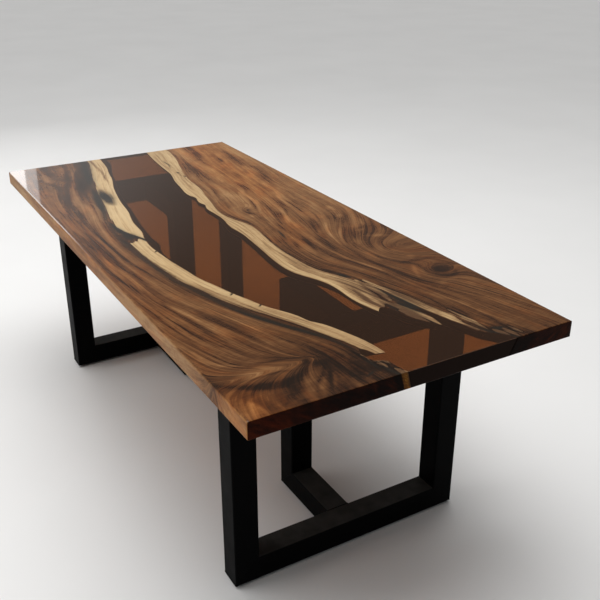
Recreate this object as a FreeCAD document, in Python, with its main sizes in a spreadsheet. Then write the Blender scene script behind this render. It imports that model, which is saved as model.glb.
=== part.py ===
import FreeCAD, Part
import math
import os
import re

import Sketcher

# Live-edge dining table: two walnut slabs with a river of cast resin between
# them, on two welded T-shaped bases of square steel tube with levelling feet.
# Frame: X along the table, Y across it, Z up, origin on the floor under the
# middle of the top. The right base stands at +X and the left base at -X; the
# front of the table is -Y.

doc = FreeCAD.newDocument("ResinRiverTable")

# Driving dimensions, in millimetres

SIZES = {
    # Top
    "TopLength": 2100,
    "TopWidth": 950,
    "TopThickness": 48,
    "TableHeight": 750,
    "EasedEdge": 2,
    # Steel bases
    "TubeSide": 75,
    "TubeWall": 3,
    "TubeCorner": 4.5,
    "FrameWidth": 760,
    "BaseDepth": 360,
    "EndOverhang": 292,
    # Bolts from the bases into the slabs, two in each slab
    "BoltInset": 105,
    "BoltSpacing": 85,
    "BoltDiameter": 8,
    "BoltLength": 20,
    "BoltHeadAcross": 13,
    "BoltHeadHeight": 5.3,
    "BoltHole": 9,
    "AccessHole": 22,
    "WasherDiameter": 16,
    "WasherThickness": 1.6,
    "InsertDiameter": 12.5,
    "InsertLength": 18,
    # Levelling feet
    "FootGap": 8,
    "FootInset": 55,
    "StemDiameter": 10,
    "StemHole": 11,
    "StemLength": 36,
    "StemHexAcross": 14,
    "StemDiscDiameter": 14,
    "StemDiscHeight": 2,
    "FootNutAcross": 17,
    "FootNutHeight": 8,
    "PadDiameter": 40,
    "PadFloor": 1.5,
    "PadRimHeight": 3.4,
    "PadHeight": 5,
    "PadCrownDiameter": 24,
    # Clearances, and the overrun of every cutting shape
    "ThreadClearance": 0.05,
    "SwivelClearance": 0.3,
    "CutOverrun": 5,
}

# Live edges. Each row is one point of the edge of a slab: its place at the top
# face, and how far the edge has moved at the underside, as shares of the top's
# length (first and third number) and width (second and fourth). The edge is a
# smooth curve through each stretch, with a sharp corner between stretches.

FRONT_EDGE_SHARES = [
    # The long live edge, from the far end to the tip of the sapwood spear
    [
        (-0.500, -0.102, 0.000, 0.030),
        (-0.457, -0.114, 0.000, 0.032),
        (-0.433, -0.121, 0.000, 0.022),
        (-0.400, -0.138, 0.000, 0.017),
        (-0.357, -0.156, 0.000, 0.015),
        (-0.310, -0.186, 0.000, 0.018),
        (-0.257, -0.211, 0.000, 0.023),
        (-0.205, -0.230, 0.000, 0.025),
        (-0.162, -0.241, 0.000, 0.023),
        (-0.119, -0.262, 0.000, 0.029),
        (-0.086, -0.269, 0.000, 0.027),
        (-0.062, -0.273, 0.000, 0.026),
        (-0.038, -0.286, 0.000, 0.036),
        (-0.014, -0.294, 0.000, 0.044),
        (0.010, -0.297, 0.000, 0.031),
        (0.036, -0.293, 0.000, 0.022),
        (0.071, -0.288, 0.000, 0.016),
        (0.105, -0.278, 0.000, 0.013),
        (0.152, -0.264, 0.000, 0.012),
        (0.190, -0.241, 0.000, 0.012),
        (0.214, -0.228, 0.000, 0.011),
        (0.238, -0.210, 0.000, 0.011),
        (0.271, -0.186, 0.000, 0.010),
        (0.295, -0.160, 0.000, 0.010),
        (0.322, -0.134, 0.000, 0.010),
        (0.336, -0.126, 0.000, 0.010),
        (0.350, -0.107, 0.000, 0.010),
        (0.381, -0.080, -0.002, 0.009),
        (0.410, -0.061, -0.005, 0.009),
        (0.451, -0.050, -0.013, 0.006),
    ],
    # The blunt tip of the spear
    [
        (0.451, -0.050, -0.013, 0.006),
        (0.448, -0.076, -0.014, -0.008),
    ],
    # Back along the spear into the split behind it
    [
        (0.448, -0.076, -0.014, -0.008),
        (0.436, -0.083, -0.013, -0.008),
        (0.428, -0.097, -0.010, -0.004),
    ],
    # Out of the split and over the broken lump to the near end
    [
        (0.428, -0.097, -0.010, -0.004),
        (0.447, -0.107, -0.002, 0.003),
        (0.459, -0.101, 0.000, 0.007),
        (0.463, -0.084, 0.001, 0.011),
        (0.472, -0.069, 0.000, 0.013),
        (0.481, -0.067, 0.000, 0.013),
        (0.490, -0.064, 0.000, 0.013),
        (0.500, -0.057, 0.000, 0.013),
    ],
]

BACK_EDGE_SHARES = [
    # The long live edge, from the far end to the tip of the lower spear
    [
        (-0.500, 0.117, 0.000, 0.008),
        (-0.443, 0.101, 0.000, 0.008),
        (-0.381, 0.088, 0.000, 0.006),
        (-0.329, 0.080, 0.000, 0.004),
        (-0.286, 0.058, 0.000, 0.002),
        (-0.238, 0.042, 0.000, 0.000),
        (-0.190, 0.036, 0.000, -0.001),
        (-0.177, 0.043, 0.000, -0.002),
        (-0.164, 0.037, 0.000, -0.002),
        (-0.143, 0.034, 0.000, -0.003),
        (-0.134, 0.039, 0.000, -0.003),
        (-0.122, 0.031, 0.000, -0.004),
        (-0.086, 0.029, 0.000, -0.004),
        (-0.043, 0.026, 0.000, -0.006),
        (-0.010, 0.016, 0.000, -0.008),
        (0.014, 0.021, 0.000, -0.008),
        (0.050, 0.018, 0.000, -0.009),
        (0.095, 0.010, 0.000, -0.010),
        (0.162, -0.001, 0.000, -0.011),
        (0.190, 0.003, 0.000, -0.010),
        (0.229, 0.035, 0.000, -0.005),
        (0.267, 0.056, 0.000, 0.003),
        (0.305, 0.054, 0.000, 0.010),
        (0.333, 0.060, -0.002, 0.008),
        (0.358, 0.075, -0.004, 0.000),
    ],
    # Into the notch behind the lower spear
    [
        (0.358, 0.075, -0.004, 0.000),
        (0.350, 0.096, -0.002, -0.006),
        (0.364, 0.118, 0.000, -0.012),
    ],
    # Out along the upper spear to its tip
    [
        (0.364, 0.118, 0.000, -0.012),
        (0.389, 0.130, -0.001, -0.012),
        (0.413, 0.153, -0.003, -0.012),
        (0.428, 0.174, -0.006, -0.008),
    ],
    # Back into the narrow split behind the upper spear
    [
        (0.428, 0.174, -0.006, -0.008),
        (0.403, 0.180, -0.004, -0.006),
        (0.372, 0.165, -0.001, -0.004),
    ],
    # Out of the split and along the ragged edge to the near end
    [
        (0.372, 0.165, -0.001, -0.004),
        (0.386, 0.190, 0.001, -0.012),
        (0.431, 0.218, 0.002, -0.010),
        (0.460, 0.234, 0.002, -0.007),
        (0.476, 0.262, 0.002, -0.016),
        (0.500, 0.298, 0.000, -0.026),
    ],
]

# Unit directions and fixed ratios

RIGHT = FreeCAD.Vector(1, 0, 0)
BACK = FreeCAD.Vector(0, 1, 0)
UP = FreeCAD.Vector(0, 0, 1)
HEX_CORNER = 1 / math.cos(math.radians(30))


# The sheet of sizes, and the expressions that read it

sheet = doc.addObject("Spreadsheet::Sheet", "Sizes")
for row, (alias, number) in enumerate(SIZES.items(), start=1):
    sheet.set(f"A{row}", alias)
    sheet.set(f"B{row}", str(number))
    sheet.setAlias(f"B{row}", alias)
doc.recompute()


def bound(text):
    """The expression text with each size written as a reference to the sheet."""
    return re.sub(r"[A-Z]\w*", lambda found: "Sizes." + found.group(), text)


def value(text):
    """The number that an expression in the sheet's sizes gives now."""
    return float(sheet.evalExpression(bound(text)))


# Bodies, sketches and features

def new_body(label, several=False):
    """An empty body; one that holds several separate solids allows a compound."""
    body = doc.addObject("PartDesign::Body", label)
    body.Label = label
    body.AllowCompound = several
    return body


def origin_feature(body, role):
    for feature in body.Origin.OriginFeatures:
        if feature.Role == role:
            return feature
    raise ValueError(role)


def new_sketch(body, name, plane, lift="0"):
    """A sketch on an origin plane of its body, lifted along the plane's normal."""
    sketch = body.newObject("Sketcher::SketchObject", name)
    sketch.AttachmentSupport = [(origin_feature(body, plane), "")]
    sketch.MapMode = "FlatFace"
    if lift != "0":
        sketch.setExpression("AttachmentOffset.Base.z", bound(lift))
    return sketch


def pin_point(sketch, geometry, point, across, along):
    """Holds one point of a sketch at two expressions, measured from the origin."""
    for text, kind, axis in ((across, "DistanceX", -2), (along, "DistanceY", -1)):
        if text == "0":
            sketch.addConstraint(Sketcher.Constraint("PointOnObject", geometry, point, axis))
        else:
            held = Sketcher.Constraint(kind, -1, 1, geometry, point, value(text))
            number = sketch.addConstraint(held)
            sketch.setExpression(f"Constraints[{number}]", bound(text))


def add_outline(sketch, corners):
    """A closed outline of straight lines; each corner is a pair of expressions."""
    places = [FreeCAD.Vector(value(x), value(y), 0) for x, y in corners]
    count = len(places)
    lines = []
    for index in range(count):
        segment = Part.LineSegment(places[index], places[(index + 1) % count])
        lines.append(sketch.addGeometry(segment))
    for index in range(count):
        following = lines[(index + 1) % count]
        sketch.addConstraint(Sketcher.Constraint("Coincident", lines[index], 2, following, 1))
        pin_point(sketch, lines[index], 1, *corners[index])


def add_circle(sketch, across, along, diameter):
    centre = FreeCAD.Vector(value(across), value(along), 0)
    circle = sketch.addGeometry(Part.Circle(centre, FreeCAD.Vector(0, 0, 1), value(diameter) / 2))
    pin_point(sketch, circle, 3, across, along)
    number = sketch.addConstraint(Sketcher.Constraint("Diameter", circle, value(diameter)))
    sketch.setExpression(f"Constraints[{number}]", bound(diameter))


def add_square(sketch, side):
    """A square centred on the origin."""
    half = f"({side}) / 2"
    minus = f"-({side}) / 2"
    add_outline(sketch, [(minus, minus), (half, minus), (half, half), (minus, half)])


def add_hexagon(sketch, across, along, flats):
    """A hexagon with a corner on each side along the second direction."""
    corners = []
    for turn in range(6):
        angle = math.radians(60 * turn + 90)
        x = f"{across} + ({flats}) * {HEX_CORNER * math.cos(angle) / 2:.6f}"
        y = f"{along} + ({flats}) * {HEX_CORNER * math.sin(angle) / 2:.6f}"
        corners.append((x, y))
    add_outline(sketch, corners)


def add_pad(body, name, sketch, length):
    pad = body.newObject("PartDesign::Pad", name)
    pad.Profile = sketch
    pad.setExpression("Length", bound(length))
    body.Tip = pad
    doc.recompute()
    return pad


def add_revolution(body, name, sketch):
    """Turns a half profile drawn on XZ about the body's Z axis."""
    turned = body.newObject("PartDesign::Revolution", name)
    turned.Profile = sketch
    turned.ReferenceAxis = (origin_feature(body, "Z_Axis"), [""])
    turned.Angle = 360
    body.Tip = turned
    doc.recompute()
    return turned


def add_pocket(body, name, sketch, symmetric=False, flip=False):
    """Cuts right through from the sketch plane, and makes sure that it cut something."""
    before = body.Shape.Volume
    pocket = body.newObject("PartDesign::Pocket", name)
    pocket.Profile = sketch
    pocket.Type = "ThroughAll"
    if symmetric:
        pocket.SideType = "Symmetric"
    pocket.Reversed = flip
    body.Tip = pocket
    doc.recompute()
    if not body.Shape.Volume < before:
        raise RuntimeError(f"{body.Label}: {name} cuts nothing")
    return pocket


def soften(body, name, radius, chosen):
    """A fillet on the edges that the chooser picks from the body as it stands."""
    base = body.Tip
    names = [f"Edge{number}" for number, edge in enumerate(base.Shape.Edges, start=1) if chosen(edge)]
    fillet = body.newObject("PartDesign::Fillet", name)
    fillet.Base = (base, names)
    fillet.setExpression("Radius", bound(radius))
    body.Tip = fillet
    doc.recompute()


def place(item, x, y, z, rotation=None):
    """Puts an object at three expressions, so that it follows the sheet."""
    if rotation is not None:
        item.Placement = FreeCAD.Placement(FreeCAD.Vector(), rotation)
    for axis, text in (("x", x), ("y", y), ("z", z)):
        if text != "0":
            item.setExpression(f"Placement.Base.{axis}", bound(text))


# The square tubes

def corner_edges(reach):
    """Chooses the long edges whose distance from the tube's axis is reach on both sides."""
    def chosen(edge):
        ends = [vertex.Point for vertex in edge.Vertexes]
        if len(ends) != 2 or abs(ends[0].z - ends[1].z) < reach:
            return False
        return all(math.isclose(abs(c), reach, abs_tol=1e-6) for p in ends for c in (p.x, p.y))
    return chosen


def square_tube(label, length, mitres, outward, along, start):
    """A mitred tube. In its own frame it runs up Z from zero and its long side
    faces +X; outward and along are where those two directions point in the
    table, and start is the place of the lower end of its axis."""
    body = new_body(label)
    bore = "TubeSide - 2 * TubeWall"
    ring = new_sketch(body, f"{label}_section", "XY_Plane")
    add_square(ring, "TubeSide")
    add_square(ring, bore)
    add_pad(body, f"{label}_length", ring, length)
    soften(body, f"{label}_corners", "TubeCorner", corner_edges(value("TubeSide / 2")))
    soften(body, f"{label}_bore_corners", "TubeCorner - TubeWall", corner_edges(value(f"({bore}) / 2")))
    face = "TubeSide / 2"
    beyond = "TubeSide / 2 + CutOverrun"
    outer = f"-({beyond})"
    # Each mitre is a triangle, with its corner on the long side's end
    if "start" in mitres:
        sketch = new_sketch(body, f"{label}_start_mitre", "XZ_Plane")
        add_outline(sketch, [(face, "0"), (outer, "TubeSide + CutOverrun"), (outer, "-CutOverrun"),
                             (face, "-CutOverrun")])
        add_pocket(body, f"{label}_start_cut", sketch, symmetric=True)
    if "end" in mitres:
        sketch = new_sketch(body, f"{label}_end_mitre", "XZ_Plane")
        add_outline(sketch, [(face, length), (face, f"{length} + CutOverrun"),
                             (outer, f"{length} + CutOverrun"),
                             (outer, f"{length} - TubeSide - CutOverrun")])
        add_pocket(body, f"{label}_end_cut", sketch, symmetric=True)
    turn = FreeCAD.Rotation(outward, along.cross(outward), along, "ZXY")
    place(body, *start, turn)
    return body


def drill_row(body, name, places, diameter, long_side):
    """Round holes on the tube's centre line, through its long side or the wall facing it."""
    sketch = new_sketch(body, f"{name}_places", "YZ_Plane")
    for distance in places:
        add_circle(sketch, "0", distance, diameter)
    add_pocket(body, name, sketch, flip=long_side)


# One T-shaped base, on the side of the table that sign gives

BASE_HEIGHT = "TableHeight - TopThickness - FootGap"
HALF_TUBE = "TubeSide / 2"
FRAME_MIDDLE = "(TopLength / 2 - EndOverhang - TubeSide / 2)"
LEG_MIDDLE = "(TopLength / 2 - EndOverhang - BaseDepth + TubeSide / 2)"
LEG_FACE = "(TopLength / 2 - EndOverhang - BaseDepth)"
TOP_BAR_HEIGHT = f"FootGap + {BASE_HEIGHT} - TubeSide / 2"
BOTTOM_BAR_HEIGHT = "FootGap + TubeSide / 2"
BAR_BOLT_PLACES = [
    "BoltInset",
    "BoltInset + BoltSpacing",
    "FrameWidth - BoltInset - BoltSpacing",
    "FrameWidth - BoltInset",
]


def build_base(side, sign):
    towards = RIGHT * sign
    bar_x = f"{sign} * {FRAME_MIDDLE}"
    bar_start = "-FrameWidth / 2"
    bottom_bar = square_tube(f"{side}_bottom_bar", "FrameWidth", ("start", "end"), -UP, BACK,
                             (bar_x, bar_start, BOTTOM_BAR_HEIGHT))
    drill_row(bottom_bar, f"{side}_bottom_bar_foot_holes",
              ["FootInset", "FrameWidth - FootInset"], "StemHole", long_side=True)
    top_bar = square_tube(f"{side}_top_bar", "FrameWidth", ("start", "end"), UP, BACK,
                          (bar_x, bar_start, TOP_BAR_HEIGHT))
    drill_row(top_bar, f"{side}_top_bar_bolt_holes", BAR_BOLT_PLACES, "BoltHole", long_side=True)
    drill_row(top_bar, f"{side}_top_bar_access_holes", BAR_BOLT_PLACES, "AccessHole", long_side=False)
    leg_offset = f"(FrameWidth / 2 - {HALF_TUBE})"
    square_tube(f"{side}_front_leg", BASE_HEIGHT, ("start", "end"), -BACK, UP,
                (bar_x, f"-{leg_offset}", "FootGap"))
    square_tube(f"{side}_back_leg", BASE_HEIGHT, ("start", "end"), BACK, UP,
                (bar_x, leg_offset, "FootGap"))
    square_tube(f"{side}_centre_leg", BASE_HEIGHT, ("start", "end"), -towards, UP,
                (f"{sign} * {LEG_MIDDLE}", "0", "FootGap"))
    rail_x = f"{sign} * {LEG_FACE}"
    rail_length = "BaseDepth - TubeSide"
    bottom_rail = square_tube(f"{side}_bottom_rail", rail_length, ("start",), -UP, towards,
                              (rail_x, "0", BOTTOM_BAR_HEIGHT))
    drill_row(bottom_rail, f"{side}_bottom_rail_foot_hole", [HALF_TUBE], "StemHole", long_side=True)
    square_tube(f"{side}_top_rail", rail_length, ("start",), UP, towards, (rail_x, "0", TOP_BAR_HEIGHT))


# The fasteners that hold a base to the slabs, each kind one group per base

BAR_TOP = "TableHeight - TopThickness"
WASHER_SEAT = f"{BAR_TOP} - TubeWall"
HEAD_SEAT = f"{WASHER_SEAT} - WasherThickness"
BOLT_PLACES = [f"({distance} - FrameWidth / 2)" for distance in BAR_BOLT_PLACES]
BOLT_BORE = "BoltDiameter + 2 * ThreadClearance"


def build_top_fasteners(side, sign):
    x = f"{sign} * {FRAME_MIDDLE}"
    inserts = new_body(f"{side}_threaded_inserts", several=True)
    sketch = new_sketch(inserts, f"{side}_insert_rings", "XY_Plane")
    for y in BOLT_PLACES:
        add_circle(sketch, "0", y, "InsertDiameter")
        add_circle(sketch, "0", y, BOLT_BORE)
    add_pad(inserts, f"{side}_insert_length", sketch, "InsertLength")
    place(inserts, x, "0", BAR_TOP)

    washers = new_body(f"{side}_top_washers", several=True)
    sketch = new_sketch(washers, f"{side}_washer_rings", "XY_Plane")
    for y in BOLT_PLACES:
        add_circle(sketch, "0", y, "WasherDiameter")
        add_circle(sketch, "0", y, BOLT_BORE)
    add_pad(washers, f"{side}_washer_thickness", sketch, "WasherThickness")
    place(washers, x, "0", HEAD_SEAT)

    bolts = new_body(f"{side}_top_bolts", several=True)
    heads = new_sketch(bolts, f"{side}_bolt_heads", "XY_Plane", lift="-BoltHeadHeight")
    for y in BOLT_PLACES:
        add_hexagon(heads, "0", y, "BoltHeadAcross")
    add_pad(bolts, f"{side}_bolt_head_height", heads, "BoltHeadHeight")
    shanks = new_sketch(bolts, f"{side}_bolt_shanks", "XY_Plane")
    for y in BOLT_PLACES:
        add_circle(shanks, "0", y, "BoltDiameter")
    add_pad(bolts, f"{side}_bolt_length", shanks, "BoltLength")
    place(bolts, x, "0", HEAD_SEAT)


# The levelling feet: nuts welded in the tubes, and a swivelling pad on each stem

FOOT_SPOTS = {
    "front": (FRAME_MIDDLE, "-(FrameWidth / 2 - FootInset)"),
    "back": (FRAME_MIDDLE, "(FrameWidth / 2 - FootInset)"),
    "centre": (LEG_MIDDLE, "0"),
}
STEM_BORE = "StemDiameter + 2 * ThreadClearance"


def build_foot_nuts(side, sign):
    nuts = new_body(f"{side}_foot_nuts", several=True)
    sketch = new_sketch(nuts, f"{side}_foot_nut_section", "XY_Plane")
    for x, y in FOOT_SPOTS.values():
        add_hexagon(sketch, f"{sign} * {x}", y, "FootNutAcross")
        add_circle(sketch, f"{sign} * {x}", y, STEM_BORE)
    add_pad(nuts, f"{side}_foot_nut_height", sketch, "FootNutHeight")
    place(nuts, "0", "0", "FootGap + TubeWall")


def build_foot(side, sign, spot):
    """A round pad that sits on the floor and a threaded stem that turns in it.
    The stem's disc lies in the pad's socket, under its lip."""
    x, y = FOOT_SPOTS[spot]
    name = f"{side}_{spot}_foot"
    outer = "PadDiameter / 2"
    crown = "PadCrownDiameter / 2"
    socket = "(StemDiscDiameter / 2 + SwivelClearance)"
    mouth = "(StemDiameter / 2 + SwivelClearance)"
    disc_top = "(PadFloor + SwivelClearance + StemDiscHeight)"
    pad = new_body(f"{name}_pad")
    sketch = new_sketch(pad, f"{name}_pad_profile", "XZ_Plane")
    add_outline(sketch, [
        ("0", "0"),
        (outer, "0"),
        (outer, "PadRimHeight"),
        (crown, "PadHeight"),
        (mouth, "PadHeight"),
        (mouth, f"{disc_top} + SwivelClearance"),
        (socket, f"{disc_top} + SwivelClearance"),
        (socket, "PadFloor"),
        ("0", "PadFloor"),
    ])
    add_revolution(pad, f"{name}_pad_turned", sketch)
    place(pad, f"{sign} * {x}", y, "0")

    stem = new_body(f"{name}_stem")
    disc = "StemDiscDiameter / 2"
    shank = "StemDiameter / 2"
    stem_top = "(PadFloor + SwivelClearance + StemLength)"
    sketch = new_sketch(stem, f"{name}_stem_profile", "XZ_Plane")
    add_outline(sketch, [
        ("0", "PadFloor + SwivelClearance"),
        (disc, "PadFloor + SwivelClearance"),
        (disc, disc_top),
        (shank, disc_top),
        (shank, stem_top),
        ("0", stem_top),
    ])
    add_revolution(stem, f"{name}_stem_turned", sketch)
    hexagon = new_sketch(stem, f"{name}_wrench_hexagon", "XY_Plane", lift="PadHeight + SwivelClearance")
    add_hexagon(hexagon, "0", "0", "StemHexAcross")
    add_pad(stem, f"{name}_wrench_height", hexagon, "(FootGap - PadHeight) / 2")
    place(stem, f"{sign} * {x}", y, "0")


# The top: one board with eased edges, divided along the two live edges

def edge_point(row, level):
    """A point of a live edge at a level, which runs from 0 at the underside to 1 at the top."""
    x, y, shift_x, shift_y = row
    drop = 1 - level
    height = value("TableHeight - TopThickness") + level * value("TopThickness")
    return FreeCAD.Vector(value("TopLength") * (x + shift_x * drop),
                          value("TopWidth") * (y + shift_y * drop), height)


def edge_section(stretches, side, level):
    """One level's outline of a slab: its live edge, closed round outside the board."""
    overrun = FreeCAD.Vector(value("CutOverrun"), 0, 0)
    ends = [edge_point(stretches[0][0], level), edge_point(stretches[-1][-1], level)]
    outer_y = side * (value("TopWidth") / 2 + value("CutOverrun"))
    edges = [Part.LineSegment(ends[0] - overrun, ends[0]).toShape()]
    for stretch in stretches:
        points = [edge_point(row, level) for row in stretch]
        if len(points) == 2:
            edges.append(Part.LineSegment(*points).toShape())
            continue
        steps = [0]
        for first, second in zip(stretch, stretch[1:]):
            steps.append(steps[-1] + math.dist(first[:2], second[:2]))
        curve = Part.BSplineCurve()
        curve.interpolate(Points=points, Parameters=steps)
        edges.append(curve.toShape())
    edges.append(Part.LineSegment(ends[1], ends[1] + overrun).toShape())
    corners = [
        ends[1] + overrun,
        FreeCAD.Vector(ends[1].x + overrun.x, outer_y, ends[1].z),
        FreeCAD.Vector(ends[0].x - overrun.x, outer_y, ends[1].z),
        ends[0] - overrun,
    ]
    for first, second in zip(corners, corners[1:]):
        edges.append(Part.LineSegment(first, second).toShape())
    return Part.Wire(edges)


def live_edge_shape(label, stretches, side):
    """The space of one slab, a little larger than the board outside its live edge."""
    spare = value("CutOverrun") / value("TopThickness")
    sections = [edge_section(stretches, side, level) for level in (-spare, 1 + spare)]
    shape = doc.addObject("Part::Feature", label)
    shape.Shape = Part.makeLoft(sections, True, True)
    return shape


def build_board(label):
    """The whole board, planed to thickness, with every outer edge eased."""
    blank = doc.addObject("Part::Box", f"{label}_blank")
    blank.setExpression("Length", bound("TopLength"))
    blank.setExpression("Width", bound("TopWidth"))
    blank.setExpression("Height", bound("TopThickness"))
    place(blank, "-TopLength / 2", "-TopWidth / 2", "TableHeight - TopThickness")
    doc.recompute()
    board = doc.addObject("Part::Fillet", label)
    board.Base = blank
    radius = value("EasedEdge")
    board.Edges = [(number, radius, radius) for number in range(1, len(blank.Shape.Edges) + 1)]
    doc.recompute()
    return board


def combine(kind, label, base, tool):
    result = doc.addObject(kind, label)
    result.Base = base
    result.Tool = tool
    result.Label = label
    doc.recompute()
    return result


def insert_holes(label):
    """Blind holes under both slabs that the threaded inserts fill."""
    holes = new_body(label, several=True)
    sketch = new_sketch(holes, f"{label}_places", "XY_Plane")
    for sign in (1, -1):
        for y in BOLT_PLACES:
            add_circle(sketch, f"{sign} * {FRAME_MIDDLE}", y, "InsertDiameter")
    add_pad(holes, f"{label}_depth", sketch, "InsertLength")
    place(holes, "0", "0", BAR_TOP)
    doc.recompute()
    return holes


def build_top():
    board = build_board("top_board")
    front_space = live_edge_shape("front_slab_space", FRONT_EDGE_SHARES, -1)
    back_space = live_edge_shape("back_slab_space", BACK_EDGE_SHARES, 1)
    river = combine("Part::Cut", "board_without_front", board, front_space)
    combine("Part::Cut", "resin_river", river, back_space)
    holes = insert_holes("insert_holes")
    for label, space in (("slab_front", front_space), ("slab_back", back_space)):
        slab = combine("Part::Common", f"{label}_sawn", board, space)
        combine("Part::Cut", label, slab, holes)


build_top()
for side, sign in (("right", 1), ("left", -1)):
    build_base(side, sign)
    build_top_fasteners(side, sign)
    build_foot_nuts(side, sign)
    for spot in FOOT_SPOTS:
        build_foot(side, sign, spot)
doc.recompute()


# Checks on the document, then one file for each piece

NODES = ["slab_front", "slab_back", "resin_river"]
for side in ("right", "left"):
    for piece in ("bottom_bar", "top_bar", "front_leg", "back_leg", "centre_leg", "bottom_rail",
                  "top_rail", "threaded_inserts", "top_washers", "top_bolts", "foot_nuts"):
        NODES.append(f"{side}_{piece}")
    for spot in FOOT_SPOTS:
        NODES += [f"{side}_{spot}_foot_pad", f"{side}_{spot}_foot_stem"]

for item in doc.Objects:
    if "Invalid" in item.State or "Error" in item.State:
        raise RuntimeError(f"{item.Label} failed: {item.State}")

os.makedirs("parts", exist_ok=True)
for label in NODES:
    piece = doc.getObjectsByLabel(label)[0]
    shape = piece.Shape
    if shape.isNull() or not shape.isValid() or not shape.Solids:
        raise RuntimeError(f"{label} has no valid solid")
    shape.exportStep(f"parts/{label}.step")
    print(f"{label}: {len(shape.Solids)} solid(s), {shape.Volume:.0f} mm3")
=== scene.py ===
"""Looks of an epoxy resin dining table: two live-edge slabs joined by a river of brown
resin, on two T-shaped bases of black square tube with levelling feet.

The slabs are rebuilt as fine meshes round the outlines of their CAD solids, and carry
the course of the grain, the sapwood and the figure as values at their points. Threaded
stems and moulded pads take the place of the plain ones, and the bases get weld seams.
The other CAD solids keep their shape and get detailed materials.
"""

import math

import bpy
import numpy as np
from mathutils import Matrix, Vector, geometry, kdtree, noise


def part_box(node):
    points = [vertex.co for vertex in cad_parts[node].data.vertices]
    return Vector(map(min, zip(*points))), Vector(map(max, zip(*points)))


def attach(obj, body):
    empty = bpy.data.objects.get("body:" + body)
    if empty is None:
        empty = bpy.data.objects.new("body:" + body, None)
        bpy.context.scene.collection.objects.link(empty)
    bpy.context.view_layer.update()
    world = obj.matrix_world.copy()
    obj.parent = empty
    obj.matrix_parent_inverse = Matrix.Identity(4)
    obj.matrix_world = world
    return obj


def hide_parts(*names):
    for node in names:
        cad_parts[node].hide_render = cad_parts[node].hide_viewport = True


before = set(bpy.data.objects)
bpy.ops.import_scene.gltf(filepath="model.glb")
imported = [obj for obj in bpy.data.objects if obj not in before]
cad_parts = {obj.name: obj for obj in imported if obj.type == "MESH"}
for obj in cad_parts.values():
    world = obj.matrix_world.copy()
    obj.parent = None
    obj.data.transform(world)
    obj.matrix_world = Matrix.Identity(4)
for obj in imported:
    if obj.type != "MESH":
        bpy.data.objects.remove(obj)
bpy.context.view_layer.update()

MM = 0.001
FULL_TURN = 2 * math.pi
TABLE = "table"
SIDES = ("right", "left")
SPOTS = ("front", "back", "centre")
TUBES = ("bottom_bar", "top_bar", "front_leg", "back_leg", "centre_leg", "bottom_rail",
         "top_rail")
PLATED_PARTS = ("top_washers", "top_bolts", "foot_nuts")

# Sizes of the top in millimetres, as the CAD solids have them
HALF_LENGTH = 1050.0
HALF_WIDTH = 475.0
TOP_HEIGHT = 750.0
THICKNESS = 48.0
EASED_EDGE = 2.0
LONG_EDGE = 5.0


# Camera, light and floor

CAMERA_PLACE = (2.40530, -1.14111, 1.73871)
CAMERA_RIGHT = (0.505014, 0.863110, 0.001314)
CAMERA_DOWN = (0.366976, -0.213343, -0.905435)
CAMERA_FORWARD = (-0.781210, 0.457740, -0.424482)
CAMERA_LENS = 51.09
CAMERA_REACH = 200
SENSOR_WIDTH = 36.0

# Name, place, what it points at, width and height in metres, power in watts, and whether
# polished faces mirror it
LAMPS = [
    ("window", (-5.0, -0.79, 2.15), (0.0, -0.79, 2.15), 2.42, 1.5, 36.5, True),
    ("curtain", (-5.0, 0.47, 2.15), (0.0, 0.47, 2.15), 0.10, 1.5, 0.5, True),
    ("front_fill", (-1.3, -4.4, 2.4), (0.0, 0.0, 0.5), 3.0, 1.6, 42.0, True),
    ("overhead", (-0.6, 0.5, 4.2), (0.0, 0.0, 0.7), 3.4, 3.0, 90.0, False),
]
SUN_STRENGTH = 1.0
SUN_SPREAD = math.radians(50)
SUN_TURN = (math.radians(14), math.radians(-18), 0)
# Brightness of the studio by the sine of the height above the horizon
STUDIO_GREYS = [(0.0, 0.18), (0.28, 0.13), (0.46, 0.065), (0.6, 0.10), (0.78, 0.50), (1.0, 0.85)]
# The wall by the window is paler: for each axis where this starts and ends, and how much
WINDOW_GLOW = [("X", -0.84, -0.92, 0.0, 1.0), ("Y", 0.20, 0.45, 0.26, 0.0)]
FLOOR_REACH = 40.0
FLOOR_COLOURS = [(0.3, (0.76, 0.755, 0.745)), (0.7, (0.79, 0.785, 0.775))]


def add_camera():
    """The camera of the picture: a level horizon, looking down along the table."""
    data = bpy.data.cameras.new("camera")
    data.lens = CAMERA_LENS
    data.sensor_width = SENSOR_WIDTH
    data.clip_end = CAMERA_REACH
    camera = bpy.data.objects.new("camera", data)
    axes = (Vector(CAMERA_RIGHT), -Vector(CAMERA_DOWN), -Vector(CAMERA_FORWARD))
    turn = Matrix(axes).transposed()
    camera.matrix_world = Matrix.Translation(CAMERA_PLACE) @ turn.to_4x4()
    bpy.context.scene.collection.objects.link(camera)
    bpy.context.scene.camera = camera


def add_lamps():
    """Soft studio light: a window-like box with a slit beside it, two fills and a soft sun."""
    for name, place, target, width, height, power, mirrored in LAMPS:
        data = bpy.data.lights.new(name, "AREA")
        data.shape = "RECTANGLE"
        data.size = width
        data.size_y = height
        data.energy = power
        lamp = bpy.data.objects.new(name, data)
        lamp.location = place
        lamp.visible_glossy = mirrored
        lamp.rotation_euler = (Vector(target) - Vector(place)).to_track_quat("-Z", "Y").to_euler()
        bpy.context.scene.collection.objects.link(lamp)
    data = bpy.data.lights.new("sun", "SUN")
    data.energy = SUN_STRENGTH
    data.angle = SUN_SPREAD
    sun = bpy.data.objects.new("sun", data)
    sun.rotation_euler = SUN_TURN
    bpy.context.scene.collection.objects.link(sun)


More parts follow.
